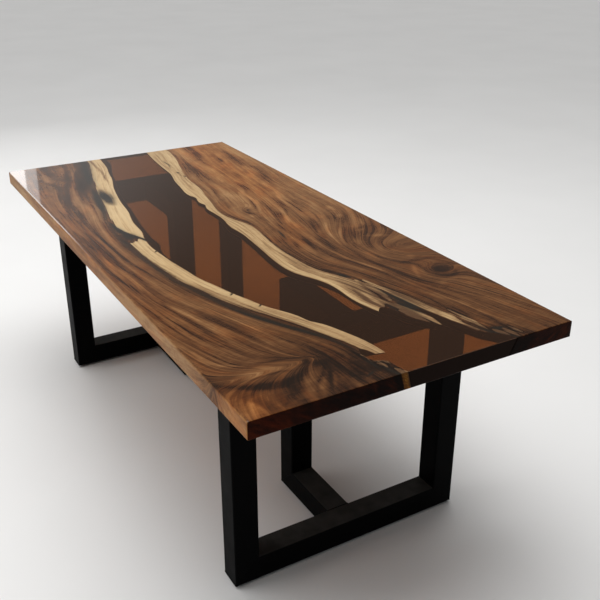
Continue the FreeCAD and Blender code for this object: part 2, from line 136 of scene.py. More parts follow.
def add_world():
    """A plain studio: grey walls all round, paler towards the ceiling and by the window."""
    world = bpy.data.worlds.new("studio")
    world.use_nodes = True
    tree = world.node_tree
    place = tree.nodes.new("ShaderNodeTexCoord")
    split = tree.nodes.new("ShaderNodeSeparateXYZ")
    ramp = tree.nodes.new("ShaderNodeValToRGB")
    tree.links.new(place.outputs["Generated"], split.inputs[0])
    tree.links.new(split.outputs["Z"], ramp.inputs[0])
    glow = tree.nodes.new("ShaderNodeMath")
    glow.operation = "MULTIPLY"
    for socket, (axis, *limits) in zip(glow.inputs, WINDOW_GLOW):
        part = tree.nodes.new("ShaderNodeMapRange")
        part.interpolation_type = "SMOOTHSTEP"
        for name, value in zip(("From Min", "From Max", "To Min", "To Max"), limits):
            part.inputs[name].default_value = value
        tree.links.new(split.outputs[axis], part.inputs[0])
        tree.links.new(part.outputs[0], socket)
    walls = tree.nodes.new("ShaderNodeMath")
    tree.links.new(ramp.outputs[0], walls.inputs[0])
    tree.links.new(glow.outputs[0], walls.inputs[1])
    tree.links.new(walls.outputs[0], tree.nodes["Background"].inputs["Color"])
    set_stops(ramp, [(height, (grey,) * 3) for height, grey in STUDIO_GREYS])
    bpy.context.scene.world = world


def set_stops(ramp, stops):
    """Gives a colour ramp its rows of position and colour."""
    elements = ramp.color_ramp.elements
    while len(elements) < len(stops):
        elements.new(0.5)
    for element, (position, colour) in zip(elements, stops):
        element.position = position
        element.color = (*colour, 1.0)


def add_floor():
    """A plain pale floor under and all round the table."""
    reach = FLOOR_REACH
    corners = [(-reach, -reach, 0), (reach, -reach, 0), (reach, reach, 0), (-reach, reach, 0)]
    floor = build_mesh("floor", corners, [(0, 1, 2, 3)], smooth=False)
    shader = Shader("pale_floor")
    cloud = shader.noise(shader.object_place(), scale=1.3, detail=4)
    colour = shader.ramp(cloud, FLOOR_COLOURS)
    floor.data.materials.append(shader.finish(Base_Color=colour, Roughness=0.7))


# Tools for materials and meshes

# Most of a noise's values lie between these
NOISE_LOW = 0.34
NOISE_HIGH = 0.66


class Shader:
    """Adds nodes to one material. An input is given as a value or as another node's output."""

    def __init__(self, name):
        self.material = bpy.data.materials.new(name)
        self.material.use_nodes = True
        self.tree = self.material.node_tree
        self.surface = self.tree.nodes["Principled BSDF"]

    def give(self, socket, given):
        if isinstance(given, bpy.types.NodeSocket):
            self.tree.links.new(given, socket)
        else:
            socket.default_value = given

    def add(self, kind, inputs=(), **settings):
        made = self.tree.nodes.new("ShaderNode" + kind)
        for name, setting in settings.items():
            setattr(made, name, setting)
        for name, given in dict(inputs).items():
            self.give(made.inputs[name], given)
        return made

    def finish(self, **inputs):
        """Sets inputs of the surface, with an underscore for each space in a name."""
        for name, given in inputs.items():
            self.give(self.surface.inputs[name.replace("_", " ")], given)
        return self.material

    def math(self, operation, first, second=0.0):
        made = self.add("Math", operation=operation)
        self.give(made.inputs[0], first)
        self.give(made.inputs[1], second)
        return made.outputs[0]

    def times(self, first, second):
        return self.math("MULTIPLY", first, second)

    def weighted(self, parts, start=0.0):
        """The sum of several outputs, each times its weight."""
        total = start
        for part, weight in parts:
            made = self.add("Math", operation="MULTIPLY_ADD")
            for socket, given in zip(made.inputs, (part, weight, total)):
                self.give(socket, given)
            total = made.outputs[0]
        return total

    def stretch(self, place, by):
        """Coordinates times a fixed vector."""
        made = self.add("VectorMath", operation="MULTIPLY")
        self.give(made.inputs[0], place)
        made.inputs[1].default_value = by
        return made.outputs[0]

    def noise(self, place, scale=1.0, detail=2.0, roughness=0.5):
        inputs = {"Vector": place, "Scale": scale, "Detail": detail, "Roughness": roughness}
        return self.add("TexNoise", inputs).outputs[0]

    def span(self, value, low, high, to_low=0.0, to_high=1.0, smooth=False):
        """value from low...high taken to to_low...to_high, and held there."""
        kind = "SMOOTHSTEP" if smooth else "LINEAR"
        inputs = {"Value": value, "From Min": low, "From Max": high,
                  "To Min": to_low, "To Max": to_high}
        return self.add("MapRange", inputs, interpolation_type=kind).outputs[0]

    def strands(self, place, by, detail=3.0, roughness=0.6):
        """Noise drawn out along the grain, mostly from -1 to 1."""
        made = self.noise(self.stretch(place, by), detail=detail, roughness=roughness)
        return self.span(made, NOISE_LOW, NOISE_HIGH, -1.0, 1.0)

    def mix(self, share, first, second, blend="MIX"):
        """Two colours mixed."""
        made = self.add("Mix", data_type="RGBA", blend_type=blend)
        self.give(made.inputs[0], share)
        for socket, given in ((made.inputs[6], first), (made.inputs[7], second)):
            self.give(socket, (*given, 1.0) if isinstance(given, tuple) else given)
        return made.outputs[2]

    def ramp(self, value, stops):
        """A colour by value, from rows of position and colour."""
        made = self.add("ValToRGB", {"Fac": value})
        set_stops(made, stops)
        return made.outputs[0]

    def bump(self, height, strength, distance, normal=None):
        inputs = {"Height": height, "Strength": strength, "Distance": distance}
        if normal is not None:
            inputs["Normal"] = normal
        return self.add("Bump", inputs).outputs[0]

    def attribute(self, name, output):
        """The values that a mesh carries at its points under a name."""
        return self.add("Attribute", attribute_name=name).outputs[output]

    def object_place(self):
        """The place on the object, in metres."""
        return self.add("TexCoord").outputs["Object"]

    def split(self, vector):
        """The three parts of a vector, by the names X, Y and Z."""
        return self.add("SeparateXYZ", {"Vector": vector}).outputs

    def facing(self):
        """Which way the surface faces, by the names X, Y and Z."""
        return self.split(self.add("NewGeometry").outputs["True Normal"])


def build_mesh(name, points, faces, smooth=True):
    """A new object of a mesh. smooth is one flag, or one for each face."""
    mesh = bpy.data.meshes.new(name)
    mesh.from_pydata([tuple(p) for p in points], [], [tuple(f) for f in faces])
    flags = np.broadcast_to(np.asarray(smooth, bool), len(mesh.polygons))
    mesh.polygons.foreach_set("use_smooth", flags.tolist())
    mesh.update()
    made = bpy.data.objects.new(name, mesh)
    bpy.context.scene.collection.objects.link(made)
    return made


def write_values(piece, name, kind, field, values):
    """Values for each point of a mesh, under a name that materials read."""
    attribute = piece.data.attributes.new(name, kind, "POINT")
    attribute.data.foreach_set(field, np.ascontiguousarray(values, np.float32).ravel())


def band_faces(rows, count, start=0, closed=False):
    """Faces between rings of points. closed joins the last ring to the first one."""
    faces = []
    for row in range(rows if closed else rows - 1):
        here, beyond = start + row * count, start + (row + 1) % rows * count
        for k in range(count):
            after = (k + 1) % count
            faces.append((here + k, beyond + k, beyond + after, here + after))
    return faces


# Outlines of the slabs, read from the CAD solids

CORNER_TURN = math.radians(40)
LIVE_STEP = 4.0
STRAIGHT_STEP = 6.0
TOLERANCE = 0.01
END_MARGIN = 0.5


def solid_points(name):
    """The points of a CAD solid's mesh in millimetres, equal ones made one, and its triangles."""
    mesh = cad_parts[name].data
    places = np.empty(len(mesh.vertices) * 3)
    mesh.vertices.foreach_get("co", places)
    mesh.calc_loop_triangles()
    corners = np.empty(len(mesh.loop_triangles) * 3, np.int32)
    mesh.loop_triangles.foreach_get("vertices", corners)
    places = np.round(places.reshape(-1, 3) / MM, 3)
    places, same = np.unique(places, axis=0, return_inverse=True)
    return places, same.ravel()[corners].reshape(-1, 3)


def face_outline(name, height):
    """The outer edge of a CAD solid's level face, as points in a plane."""
    places, triangles = solid_points(name)
    level = (np.abs(places[triangles][:, :, 2] - height) < TOLERANCE).all(1)
    edges = {(a, b) for t in triangles[level] for a, b in zip(t, np.roll(t, -1))}
    following = {a: b for a, b in edges if (b, a) not in edges}
    loops = []
    while following:
        loop = [next(iter(following))]
        while loop[-1] in following:
            loop.append(following.pop(loop[-1]))
        loops.append(places[loop[:-1]][:, :2])
    return max(loops, key=lambda points: np.ptp(points[:, 0]))


def live_edge(name, height):
    """The live edge of a slab at its upper or lower face, from the far to the near end."""
    points = face_outline(name, height)
    outer = np.abs(points[:, 1]) > HALF_WIDTH - 2 * EASED_EDGE
    first = int(np.argmax(outer & ~np.roll(outer, -1))) + 1
    points = np.roll(points, -first, axis=0)[: int((~outer).sum())]
    if points[0, 0] > 0:
        points = points[::-1]
    points = points[np.abs(points[:, 0]) < HALF_LENGTH - EASED_EDGE - END_MARGIN]
    ends = []
    for end, inner in ((points[0], points[1]), (points[-1], points[-2])):
        reach = (math.copysign(HALF_LENGTH, end[0]) - end[0]) / (end[0] - inner[0])
        ends.append(end + (end - inner) * reach)
    return np.vstack([ends[0], points, ends[1]])


def along(points):
    """The distance of each point along its line."""
    return np.concatenate([[0], np.cumsum(np.hypot(*np.diff(points, axis=0).T))])


def resampled(points, count):
    """count + 1 points at even steps along a line."""
    travel = along(points)
    steps = np.linspace(0, travel[-1], count + 1)
    return np.column_stack([np.interp(steps, travel, points[:, axis]) for axis in (0, 1)])


def stretches(points):
    """A line cut at its sharp corners."""
    course = np.diff(points, axis=0)
    turn = np.diff(np.arctan2(course[:, 1], course[:, 0]))
    turn = np.abs((turn + math.pi) % FULL_TURN - math.pi)
    cuts = [0, *(np.flatnonzero(turn > CORNER_TURN) + 1), len(points) - 1]
    return [points[a : b + 1] for a, b in zip(cuts, cuts[1:])]


def matched_edges(name):
    """The upper and lower live edge of a slab with matching points."""
    upper, lower = [], []
    tops = stretches(live_edge(name, TOP_HEIGHT))
    bottoms = stretches(live_edge(name, TOP_HEIGHT - THICKNESS))
    if len(tops) != len(bottoms):
        raise ValueError(f"{name}: the corners of its live edge don't match")
    for top, bottom in zip(tops, bottoms):
        count = max(2, round(along(top)[-1] / LIVE_STEP))
        upper.append(resampled(top, count)[:-1])
        lower.append(resampled(bottom, count)[:-1])
    upper.append(tops[-1][-1:])
    lower.append(bottoms[-1][-1:])
    return np.vstack(upper), np.vstack(lower)


# Course of the grain. Each line runs along the grain from the far to the near end, and
# its points are x and y on the top in millimetres. The first line is the live edge and
# the second the inner edge of the sapwood.

FRONT_GRAIN = [
    [(-1050, -100), (-930, -107), (-800, -138), (-650, -177), (-500, -211), (-350, -229),
     (-200, -252), (-60, -276), (40, -280), (180, -267), (320, -251), (450, -217),
     (600, -161), (750, -98), (860, -58), (947, -48), (1050, -45)],
    [(-1050, -153), (-1000, -157), (-900, -180), (-850, -195), (-800, -212), (-700, -232),
     (-600, -250), (-500, -268), (-400, -287), (-300, -305), (-200, -318), (0, -325),
     (100, -325), (200, -318), (300, -300), (400, -282), (500, -247), (600, -210),
     (700, -160), (800, -120), (900, -84), (945, -72), (1050, -70)],
    [(-1050, -215), (-950, -235), (-900, -245), (-850, -262), (-700, -292), (-600, -304),
     (-450, -325), (-350, -345), (-300, -357), (-200, -370), (-100, -378), (0, -375),
     (100, -370), (200, -355), (300, -342), (400, -322), (500, -292), (600, -257),
     (700, -215), (760, -180), (800, -160), (880, -135), (1050, -118)],
    [(-1050, -300), (-900, -310), (-800, -328), (-700, -355), (-600, -385), (-500, -398),
     (-350, -408), (-200, -412), (0, -408), (80, -402), (150, -395), (250, -381),
     (300, -372), (400, -350), (480, -325), (600, -286), (700, -252), (755, -233),
     (820, -215), (900, -195), (1050, -190)],
    [(-1050, -380), (-900, -395), (-700, -420), (-500, -436), (-350, -440), (0, -440),
     (100, -438), (200, -426), (300, -420), (400, -412), (500, -389), (600, -361),
     (700, -334), (755, -320), (820, -305), (950, -290), (1050, -285)],
    [(-1050, -450), (-700, -470), (-400, -476), (0, -480), (300, -462), (400, -452),
     (500, -441), (600, -426), (700, -402), (760, -385), (850, -370), (1050, -370)],
    [(-1050, -520), (0, -540), (400, -505), (600, -478), (700, -455), (770, -440),
     (850, -430), (1050, -450)],
    [(-1050, -590), (0, -610), (500, -560), (750, -510), (850, -500), (1050, -520)],
]
# Where the fork at the near end is, how far each of these lines climbs into it, and over
# what width
FRONT_FORK_PLACE = 884
FRONT_FORK = [(0, 40), (0, 40), (0, 40), (0, 40), (88, 42), (140, 40), (150, 34), (150, 30)]

BACK_GRAIN = [
    [(-1050, 112), (-930, 96), (-800, 84), (-690, 76), (-600, 53), (-500, 38), (-350, 33),
     (-200, 26), (-80, 20), (50, 16), (200, 8), (340, -1), (400, 3), (480, 33), (560, 53),
     (640, 51), (752, 71), (900, 120), (1050, 190)],
    [(-1050, 200), (-950, 195), (-850, 172), (-750, 148), (-700, 135), (-600, 112),
     (-500, 103), (-450, 100), (-400, 90), (-300, 72), (-250, 62), (-200, 52), (-150, 52),
     (-100, 60), (-50, 78), (0, 83), (50, 82), (100, 75), (150, 68), (250, 60), (350, 65),
     (400, 70), (450, 86), (500, 110), (550, 132), (600, 150), (700, 175), (800, 200),
     (900, 220), (1050, 262)],
    [(-1050, 255), (-900, 240), (-800, 234), (-700, 235), (-600, 230), (-500, 222),
     (-400, 222), (-300, 208), (-200, 190), (-120, 163), (-50, 150), (0, 145), (100, 133),
     (160, 122), (250, 108), (330, 108), (380, 115), (420, 128), (470, 155), (520, 172),
     (610, 192), (700, 215), (800, 235), (900, 252), (1050, 300)],
    [(-1050, 335), (-900, 328), (-800, 310), (-700, 300), (-500, 285), (-350, 275),
     (-300, 262), (-200, 256), (-80, 245), (0, 215), (50, 203), (130, 198), (200, 195),
     (300, 190), (350, 192), (400, 200), (450, 218), (500, 235), (550, 250), (650, 266),
     (800, 300), (900, 315), (1050, 352)],
    [(-1050, 400), (-800, 375), (-600, 345), (-430, 332), (-300, 328), (-200, 305),
     (-100, 300), (0, 290), (50, 280), (100, 265), (150, 247), (200, 238), (300, 232),
     (400, 238), (470, 247), (520, 260), (600, 280), (650, 300), (700, 325), (760, 350),
     (820, 375), (900, 395), (1050, 430)],
    [(-1050, 470), (-850, 458), (-700, 450), (-600, 440), (-400, 415), (-200, 415),
     (-100, 418), (0, 408), (60, 388), (130, 345), (200, 302), (250, 280), (300, 268),
     (350, 266), (450, 285), (520, 310), (600, 345), (700, 400), (850, 450), (1050, 500)],
    [(-1050, 540), (-400, 500), (0, 500), (100, 470), (200, 430), (300, 405), (400, 400),
     (500, 420), (600, 460), (1050, 580)],
]
# Knots round which the grain closes: place, reach, and how far they lift the grain
BACK_KNOTS = [(395, 392, 74, 62, 120), (612, 388, 34, 34, 92), (-150, 142, 22, 16, 22)]
FRONT_KNOTS = [(-815, -318, 26, 10, 16), (-520, -244, 40, 14, 10)]

# Inner edge of the sapwood
FRONT_SAP = [(-1050, -153), (-1000, -158), (-900, -180), (-800, -211), (-700, -230), (-600, -252),
             (-500, -268), (-400, -287), (-300, -305), (-200, -316), (-60, -329), (50, -326),
             (150, -320), (300, -306), (350, -294), (400, -279), (450, -267), (500, -250),
             (550, -231), (600, -207), (650, -183), (700, -158), (750, -140), (800, -118),
             (850, -98), (900, -86), (925, -90), (948, -90), (956, -20), (1050, -20)]
BACK_SAP = [(-1050, 200), (-1000, 197), (-950, 190), (-900, 182), (-850, 170), (-800, 155),
            (-750, 140), (-700, 126), (-650, 114), (-600, 106), (-500, 104), (-450, 97),
            (-400, 87), (-350, 77), (-300, 71), (-225, 52), (-150, 47), (-100, 55), (-50, 72),
            (0, 82), (50, 80), (100, 73), (150, 65), (225, 58), (300, 62), (350, 65), (400, 70),
            (450, 86), (475, 97), (500, 108), (540, 122), (600, 128), (660, 126), (700, 120),
            (740, 104), (770, 60), (1050, 60)]

# How much lighter or darker the heartwood and the sapwood are along the slab, by x: partly
# the wood's own tone and partly painted shade, darker towards the near end where light falls off
FRONT_SHADES = [(-1050, -0.09, 0.00), (-600, -0.06, 0.02), (-300, -0.08, 0.04),
                (-80, -0.165, 0.00), (300, -0.075, -0.14), (600, -0.055, -0.21),
                (760, -0.14, -0.20), (880, -0.23, -0.25), (1050, -0.265, -0.25)]
BACK_SHADES = [(-1050, 0.15, -0.09), (-300, 0.08, -0.11), (100, -0.02, -0.17),
               (300, -0.115, -0.19), (650, -0.145, -0.29), (1050, -0.165, -0.30)]

GRAIN_STEP = 10.0
GRAIN_SOFTNESS = 14.0
GRAIN_REACH = 1200.0
KERNEL_REACH = 3


class Grain:
    """How far in from the live edge a point of a slab lies, measured across the grain.

    side is the slab's side in Y, and lean how far the grain moves in for each millimetre
    below the upper face.
    """

    def __init__(self, lines, sap_edge, knots, side, lean, fork=()):
        self.knots = knots
        self.side = side
        self.lean = lean
        self.steps = np.arange(-GRAIN_REACH, GRAIN_REACH + GRAIN_STEP, GRAIN_STEP)
        reach = int(KERNEL_REACH * GRAIN_SOFTNESS / GRAIN_STEP)
        kernel = np.exp(-0.5 * (np.arange(-reach, reach + 1) * GRAIN_STEP / GRAIN_SOFTNESS) ** 2)
        kernel /= kernel.sum()
        courses = []
        for line in [*lines, sap_edge]:
            course = np.interp(self.steps, *np.array(line, float).T)
            courses.append(np.convolve(np.pad(course, reach, "edge"), kernel, "valid"))
        self.edges = courses.pop()
        for course, (climb, width) in zip(courses, fork):
            course += climb * np.exp(-np.abs(self.steps - FRONT_FORK_PLACE) / width)
        self.courses = np.array(courses) * side
        self.depths = np.concatenate([[0], np.cumsum(np.diff(self.courses.mean(1)))])

    def edge(self, x):
        """The inner edge of the sapwood."""
        return np.interp(x, self.steps, self.edges)

    def depth(self, x, y, below):
        """Distance across the grain, for points that lie below the upper face."""
        across = y * self.side + below * self.lean
        rows = np.array([np.interp(x, self.steps, course) for course in self.courses])
        depth = np.where(across < rows[0], across - rows[0], 0.0)
        for k, (low, high) in enumerate(zip(rows, rows[1:])):
            share = np.clip((across - low) / (high - low), 0, 1)
            depth += share * (self.depths[k + 1] - self.depths[k])
        depth += np.maximum(across - rows[-1], 0)
        for place_x, place_y, wide, tall, lift in self.knots:
            off = ((x - place_x) / wide) ** 2 + ((y - place_y) / tall) ** 2
            depth += lift * np.exp(-0.5 * off)
        return depth


# Marks on the wood, read off the picture: kind, half width, strength, and points
# x and y in millimetres. "light" and "dark" streaks follow the grain, "slate" is the
# blue-black of knots and cracks, "sap" and "heart" move the edge of the sapwood, "calm"
# makes the lines of the grain faint, and "warm" turns the heartwood more orange.

FRONT_MARKS = [
    ("slate", 22, 0.9, [(-1060, -174), (-1000, -177), (-900, -202), (-800, -229), (-700, -250),
                        (-600, -270)]),
    ("slate", 15, 1.0, [(-760, -240), (-600, -266), (-500, -283), (-400, -300), (-300, -323),
                        (-250, -330)]),
    ("dark", 28, 0.9, [(-1060, -205), (-950, -218), (-850, -245), (-750, -270), (-640, -298),
                       (-560, -332), (-470, -360)]),
    ("light", 9, 0.7, [(-1060, -216), (-950, -238), (-880, -262), (-820, -282)]),
    ("dark", 12, 0.8, [(-1060, -258), (-1000, -263), (-900, -284), (-816, -302), (-700, -343),
                       (-570, -374), (-426, -387), (-291, -398)]),
    ("light", 12, 0.6, [(-1010, -276), (-940, -284), (-870, -306)]),
    ("light", 20, 0.7, [(-940, -388), (-860, -376), (-800, -358)]),
    ("dark", 15, 0.9, [(-878, -399), (-802, -381), (-742, -360), (-632, -380), (-503, -403),
                       (-375, -411)]),
    ("dark", 26, 0.6, [(-1060, -328), (-980, -344), (-900, -348)]),
    ("dark", 10, 0.9, [(-459, -376), (-337, -391), (-237, -390), (-145, -394)]),
    ("dark", 7, 0.8, [(-278, -456), (-176, -443), (-70, -434), (48, -432), (146, -432)]),
    ("dark", 5, 0.9, [(-115, -345), (-65, -337), (-16, -329)]),
    ("light", 20, 0.7, [(-762, -418), (-664, -408), (-555, -419), (-424, -427)]),
    ("light", 15, 0.7, [(-713, -314), (-604, -335), (-501, -355), (-372, -364)]),
    ("light", 22, 1.0, [(-520, -344), (-415, -332), (-331, -345), (-240, -368)]),
    ("light", 8, 0.9, [(-268, -360), (-176, -368), (-65, -374), (49, -379), (132, -375)]),
    ("light", 5, 0.9, [(-552, -322), (-472, -307), (-379, -311), (-331, -319)]),
    ("light", 9, 0.7, [(-307, -424), (-203, -412), (-84, -404), (53, -406), (163, -404)]),
    ("light", 8, 0.7, [(-39, -447), (64, -447), (170, -448), (295, -445)]),
    ("light", 10, 0.6, [(-478, -450), (-323, -450), (-166, -446)]),
    ("light", 13, 0.6, [(-851, -328), (-789, -334), (-726, -361)]),
    ("slate", 13, 0.7, [(-430, -294), (-300, -322), (-200, -338), (-100, -343), (0, -343),
                        (100, -338), (200, -329), (300, -318), (400, -294), (500, -266),
                        (600, -228), (700, -184), (780, -142), (850, -114), (920, -98)]),
    ("dark", 20, 1.0, [(330, -302), (500, -262), (600, -222), (700, -176), (780, -138),
                       (880, -110), (960, -112)]),
    ("light", 10, 1.0, [(-400, -335), (-300, -357), (-200, -371), (-100, -378), (0, -375),
                        (100, -369), (200, -355), (300, -342), (360, -332)]),
    ("dark", 5, 1.0, [(-350, -390), (-200, -396), (-100, -392), (0, -388), (100, -382),
                      (200, -370), (260, -362)]),
    ("light", 5, 0.7, [(0, -405), (80, -401), (150, -394), (250, -381), (300, -372)]),
    ("dark", 6, 0.9, [(-350, -410), (-200, -414), (0, -412), (100, -420), (150, -417),
                      (200, -406), (300, -391)]),
    ("light", 7, 0.9, [(40, -436), (100, -438), (200, -426), (300, -420), (380, -408)]),
    ("dark", 6, 0.9, [(30, -462), (100, -465), (200, -455), (300, -440), (350, -436)]),
    ("light", 8, 0.6, [(360, -330), (400, -322), (500, -292), (600, -257), (700, -215)]),
    ("light", 6, 1.0, [(480, -325), (550, -305), (600, -286), (650, -270), (700, -252),
                       (755, -233)]),
    ("dark", 16, 0.8, [(470, -347), (550, -334), (600, -320), (700, -292), (760, -270)]),
    ("light", 6, 0.8, [(500, -382), (600, -353), (680, -330), (750, -308)]),
    ("dark", 5, 0.8, [(500, -404), (600, -377), (660, -362)]),
    ("light", 7, 1.0, [(450, -402), (500, -389), (600, -361), (700, -334), (755, -320)]),
    ("dark", 6, 0.8, [(380, -405), (450, -410), (520, -396), (600, -375), (700, -350)]),
    ("light", 5, 0.7, [(430, -421), (550, -405), (650, -385), (740, -356)]),
    ("dark", 5, 0.9, [(420, -441), (500, -435), (600, -415), (700, -390), (765, -370)]),
    ("light", 5, 0.7, [(300, -456), (400, -450), (500, -441), (600, -426), (700, -401)]),
    ("dark", 5, 0.8, [(300, -466), (400, -463), (600, -441), (700, -425), (770, -405)]),
    ("light", 7, 0.9, [(700, -455), (770, -445), (805, -420), (828, -388)]),
    # The crotch at the near end: a dark fork, with the grain fanning out of it
    ("dark", 22, 0.9, [(880, -245), (905, -225), (915, -200), (945, -185), (1010, -180)]),
    ("dark", 26, 0.8, [(893, -172), (935, -164), (992, -163), (1050, -171)]),
    ("dark", 16, 1.3, [(885, -470), (908, -440), (930, -405), (945, -368), (953, -330),
                       (946, -295), (925, -262), (895, -238), (870, -225)]),
    ("dark", 21, 0.8, [(947, -290), (989, -323), (1024, -350)]),
    ("dark", 7, 0.8, [(927, -207), (962, -233), (988, -263), (1023, -285)]),
    ("dark", 9, 0.8, [(937, -200), (985, -228), (1038, -252)]),
    ("dark", 4, 0.9, [(796, -321), (827, -299), (856, -263), (871, -226), (889, -193)]),
    ("dark", 5, 0.7, [(799, -412), (822, -385), (830, -362)]),
    ("light", 13, 0.7, [(949, -272), (987, -286), (1018, -313)]),
    ("light", 11, 0.8, [(994, -275), (1025, -302), (1055, -306)]),
    ("light", 10, 0.9, [(963, -232), (1003, -260), (1048, -280)]),
    ("light", 5, 0.9, [(964, -205), (1004, -227), (1030, -244)]),
    ("light", 4, 0.8, [(916, -146), (945, -149)]),
    ("light", 5, 0.9, [(1006, -156), (1036, -153), (1056, -150)]),
    ("light", 8, 0.8, [(975, -437), (1011, -434), (1050, -415)]),
    ("light", 8, 0.6, [(1005, -384), (1027, -384), (1055, -372)]),
    ("light", 17, 0.9, [(884, -440), (878, -395), (878, -340), (886, -300), (900, -266)]),
    ("dark", 4, 0.8, [(903, -400), (898, -350), (899, -310), (912, -282)]),
    ("dark", 7, 0.7, [(838, -350), (846, -310), (856, -270)]),
    ("calm", 42, 0.85, [(885, -250), (880, -330), (880, -430)]),
    ("dark", 34, 0.6, [(800, -188), (860, -176), (930, -150), (1060, -140)]),
    ("warm", 75, 1.0, [(880, -480), (970, -440), (1080, -400)]),
    ("warm", 60, 0.6, [(-900, -430), (-500, -440), (0, -450), (500, -430), (800, -430)]),
    ("light", 6, 0.9, [(849, -362), (861, -337), (877, -316), (891, -313)]),
    ("light", 7, 0.8, [(895, -413), (890, -380), (894, -342)]),
    ("light", 32, 1.0, [(915, -474), (1007, -456), (1060, -436)]),
    ("light", 8, 0.6, [(775, -446), (800, -424), (820, -397), (832, -360)]),
    # The broken lump beside the spear
    ("sap", 4, 1.0, [(967, -98), (972, -82), (981, -72), (998, -68)]),
    ("sap", 5, 1.0, [(980, -93), (993, -85), (1008, -84)]),
    ("sap", 3, 1.0, [(922, -107), (950, -103), (975, -99), (998, -97)]),
    ("sap", 7, 1.0, [(1022, -72), (1040, -66), (1058, -60)]),
    ("sap", 10, 1.0, [(1045, -70), (1060, -66), (1075, -62)]),
    ("dark", 22, 1.1, [(930, -96), (1000, -86), (1060, -78)]),
    ("slate", 4, 1.0, [(998, -94), (1025, -87), (1058, -78)]),
    ("slate", 4, 0.9, [(936, -114), (980, -106), (1015, -104)]),
    ("slate", 3, 0.9, [(1000, -112), (1012, -132), (1022, -156)]),
    ("light", 10, 0.7, [(1010, -124), (1024, -113), (1055, -102)]),
    # The dark knot, the open crack and small nicks in the sapwood
    ("dark", 32, 0.8, [(-700, -222), (-560, -236), (-430, -246)]),
    ("slate", 25, 1.05, [(-650, -236), (-570, -242), (-500, -246), (-430, -247)]),
    ("slate", 16, 0.9, [(-560, -246), (-500, -252), (-440, -256)]),
    ("heart", 16, 1.0, [(-180, -334), (-120, -318), (-88, -316), (-60, -334)]),
    ("heart", 11, 1.0, [(-112, -298), (-82, -300), (-66, -312), (-56, -334)]),
    ("slate", 9, 1.5, [(-290, -320), (-215, -322), (-165, -317), (-128, -305), (-104, -293),
                       (-76, -281), (-20, -268)]),
    ("slate", 16, 1.1, [(-165, -318), (-118, -304), (-78, -294)]),
    ("slate", 12, 0.9, [(-150, -330), (-105, -314), (-62, -312)]),
    ("slate", 9, 1.0, [(420, -300), (550, -258), (600, -238), (650, -214), (700, -188),
                       (750, -160), (800, -134), (860, -112), (930, -96)]),
    ("dark", 14, 1.0, [(640, -196), (700, -170), (760, -152), (820, -124)]),
    ("slate", 3, 1.2, [(550, -172), (568, -192)]),
    ("slate", 3, 1.2, [(48, -276), (60, -290)]),
    ("slate", 3, 1.1, [(448, -212), (466, -228)]),
    ("dark", 5, 1.4, [(-1060, -142), (-900, -149), (-850, -154), (-800, -163), (-740, -172),
                      (-680, -182)]),
    # A dark smear of painted shade on the side, where the outer edge dips, and where the lines of
    # the grain are faint
    ("dark", 18, 0.5, [(800, -486), (885, -478), (950, -484)]),
    ("calm", 95, 1.0, [(860, -480), (960, -440), (1080, -330)]),
    ("calm", 120, 0.9, [(-1200, -330), (-950, -350), (-700, -395), (-450, -420)]),
]

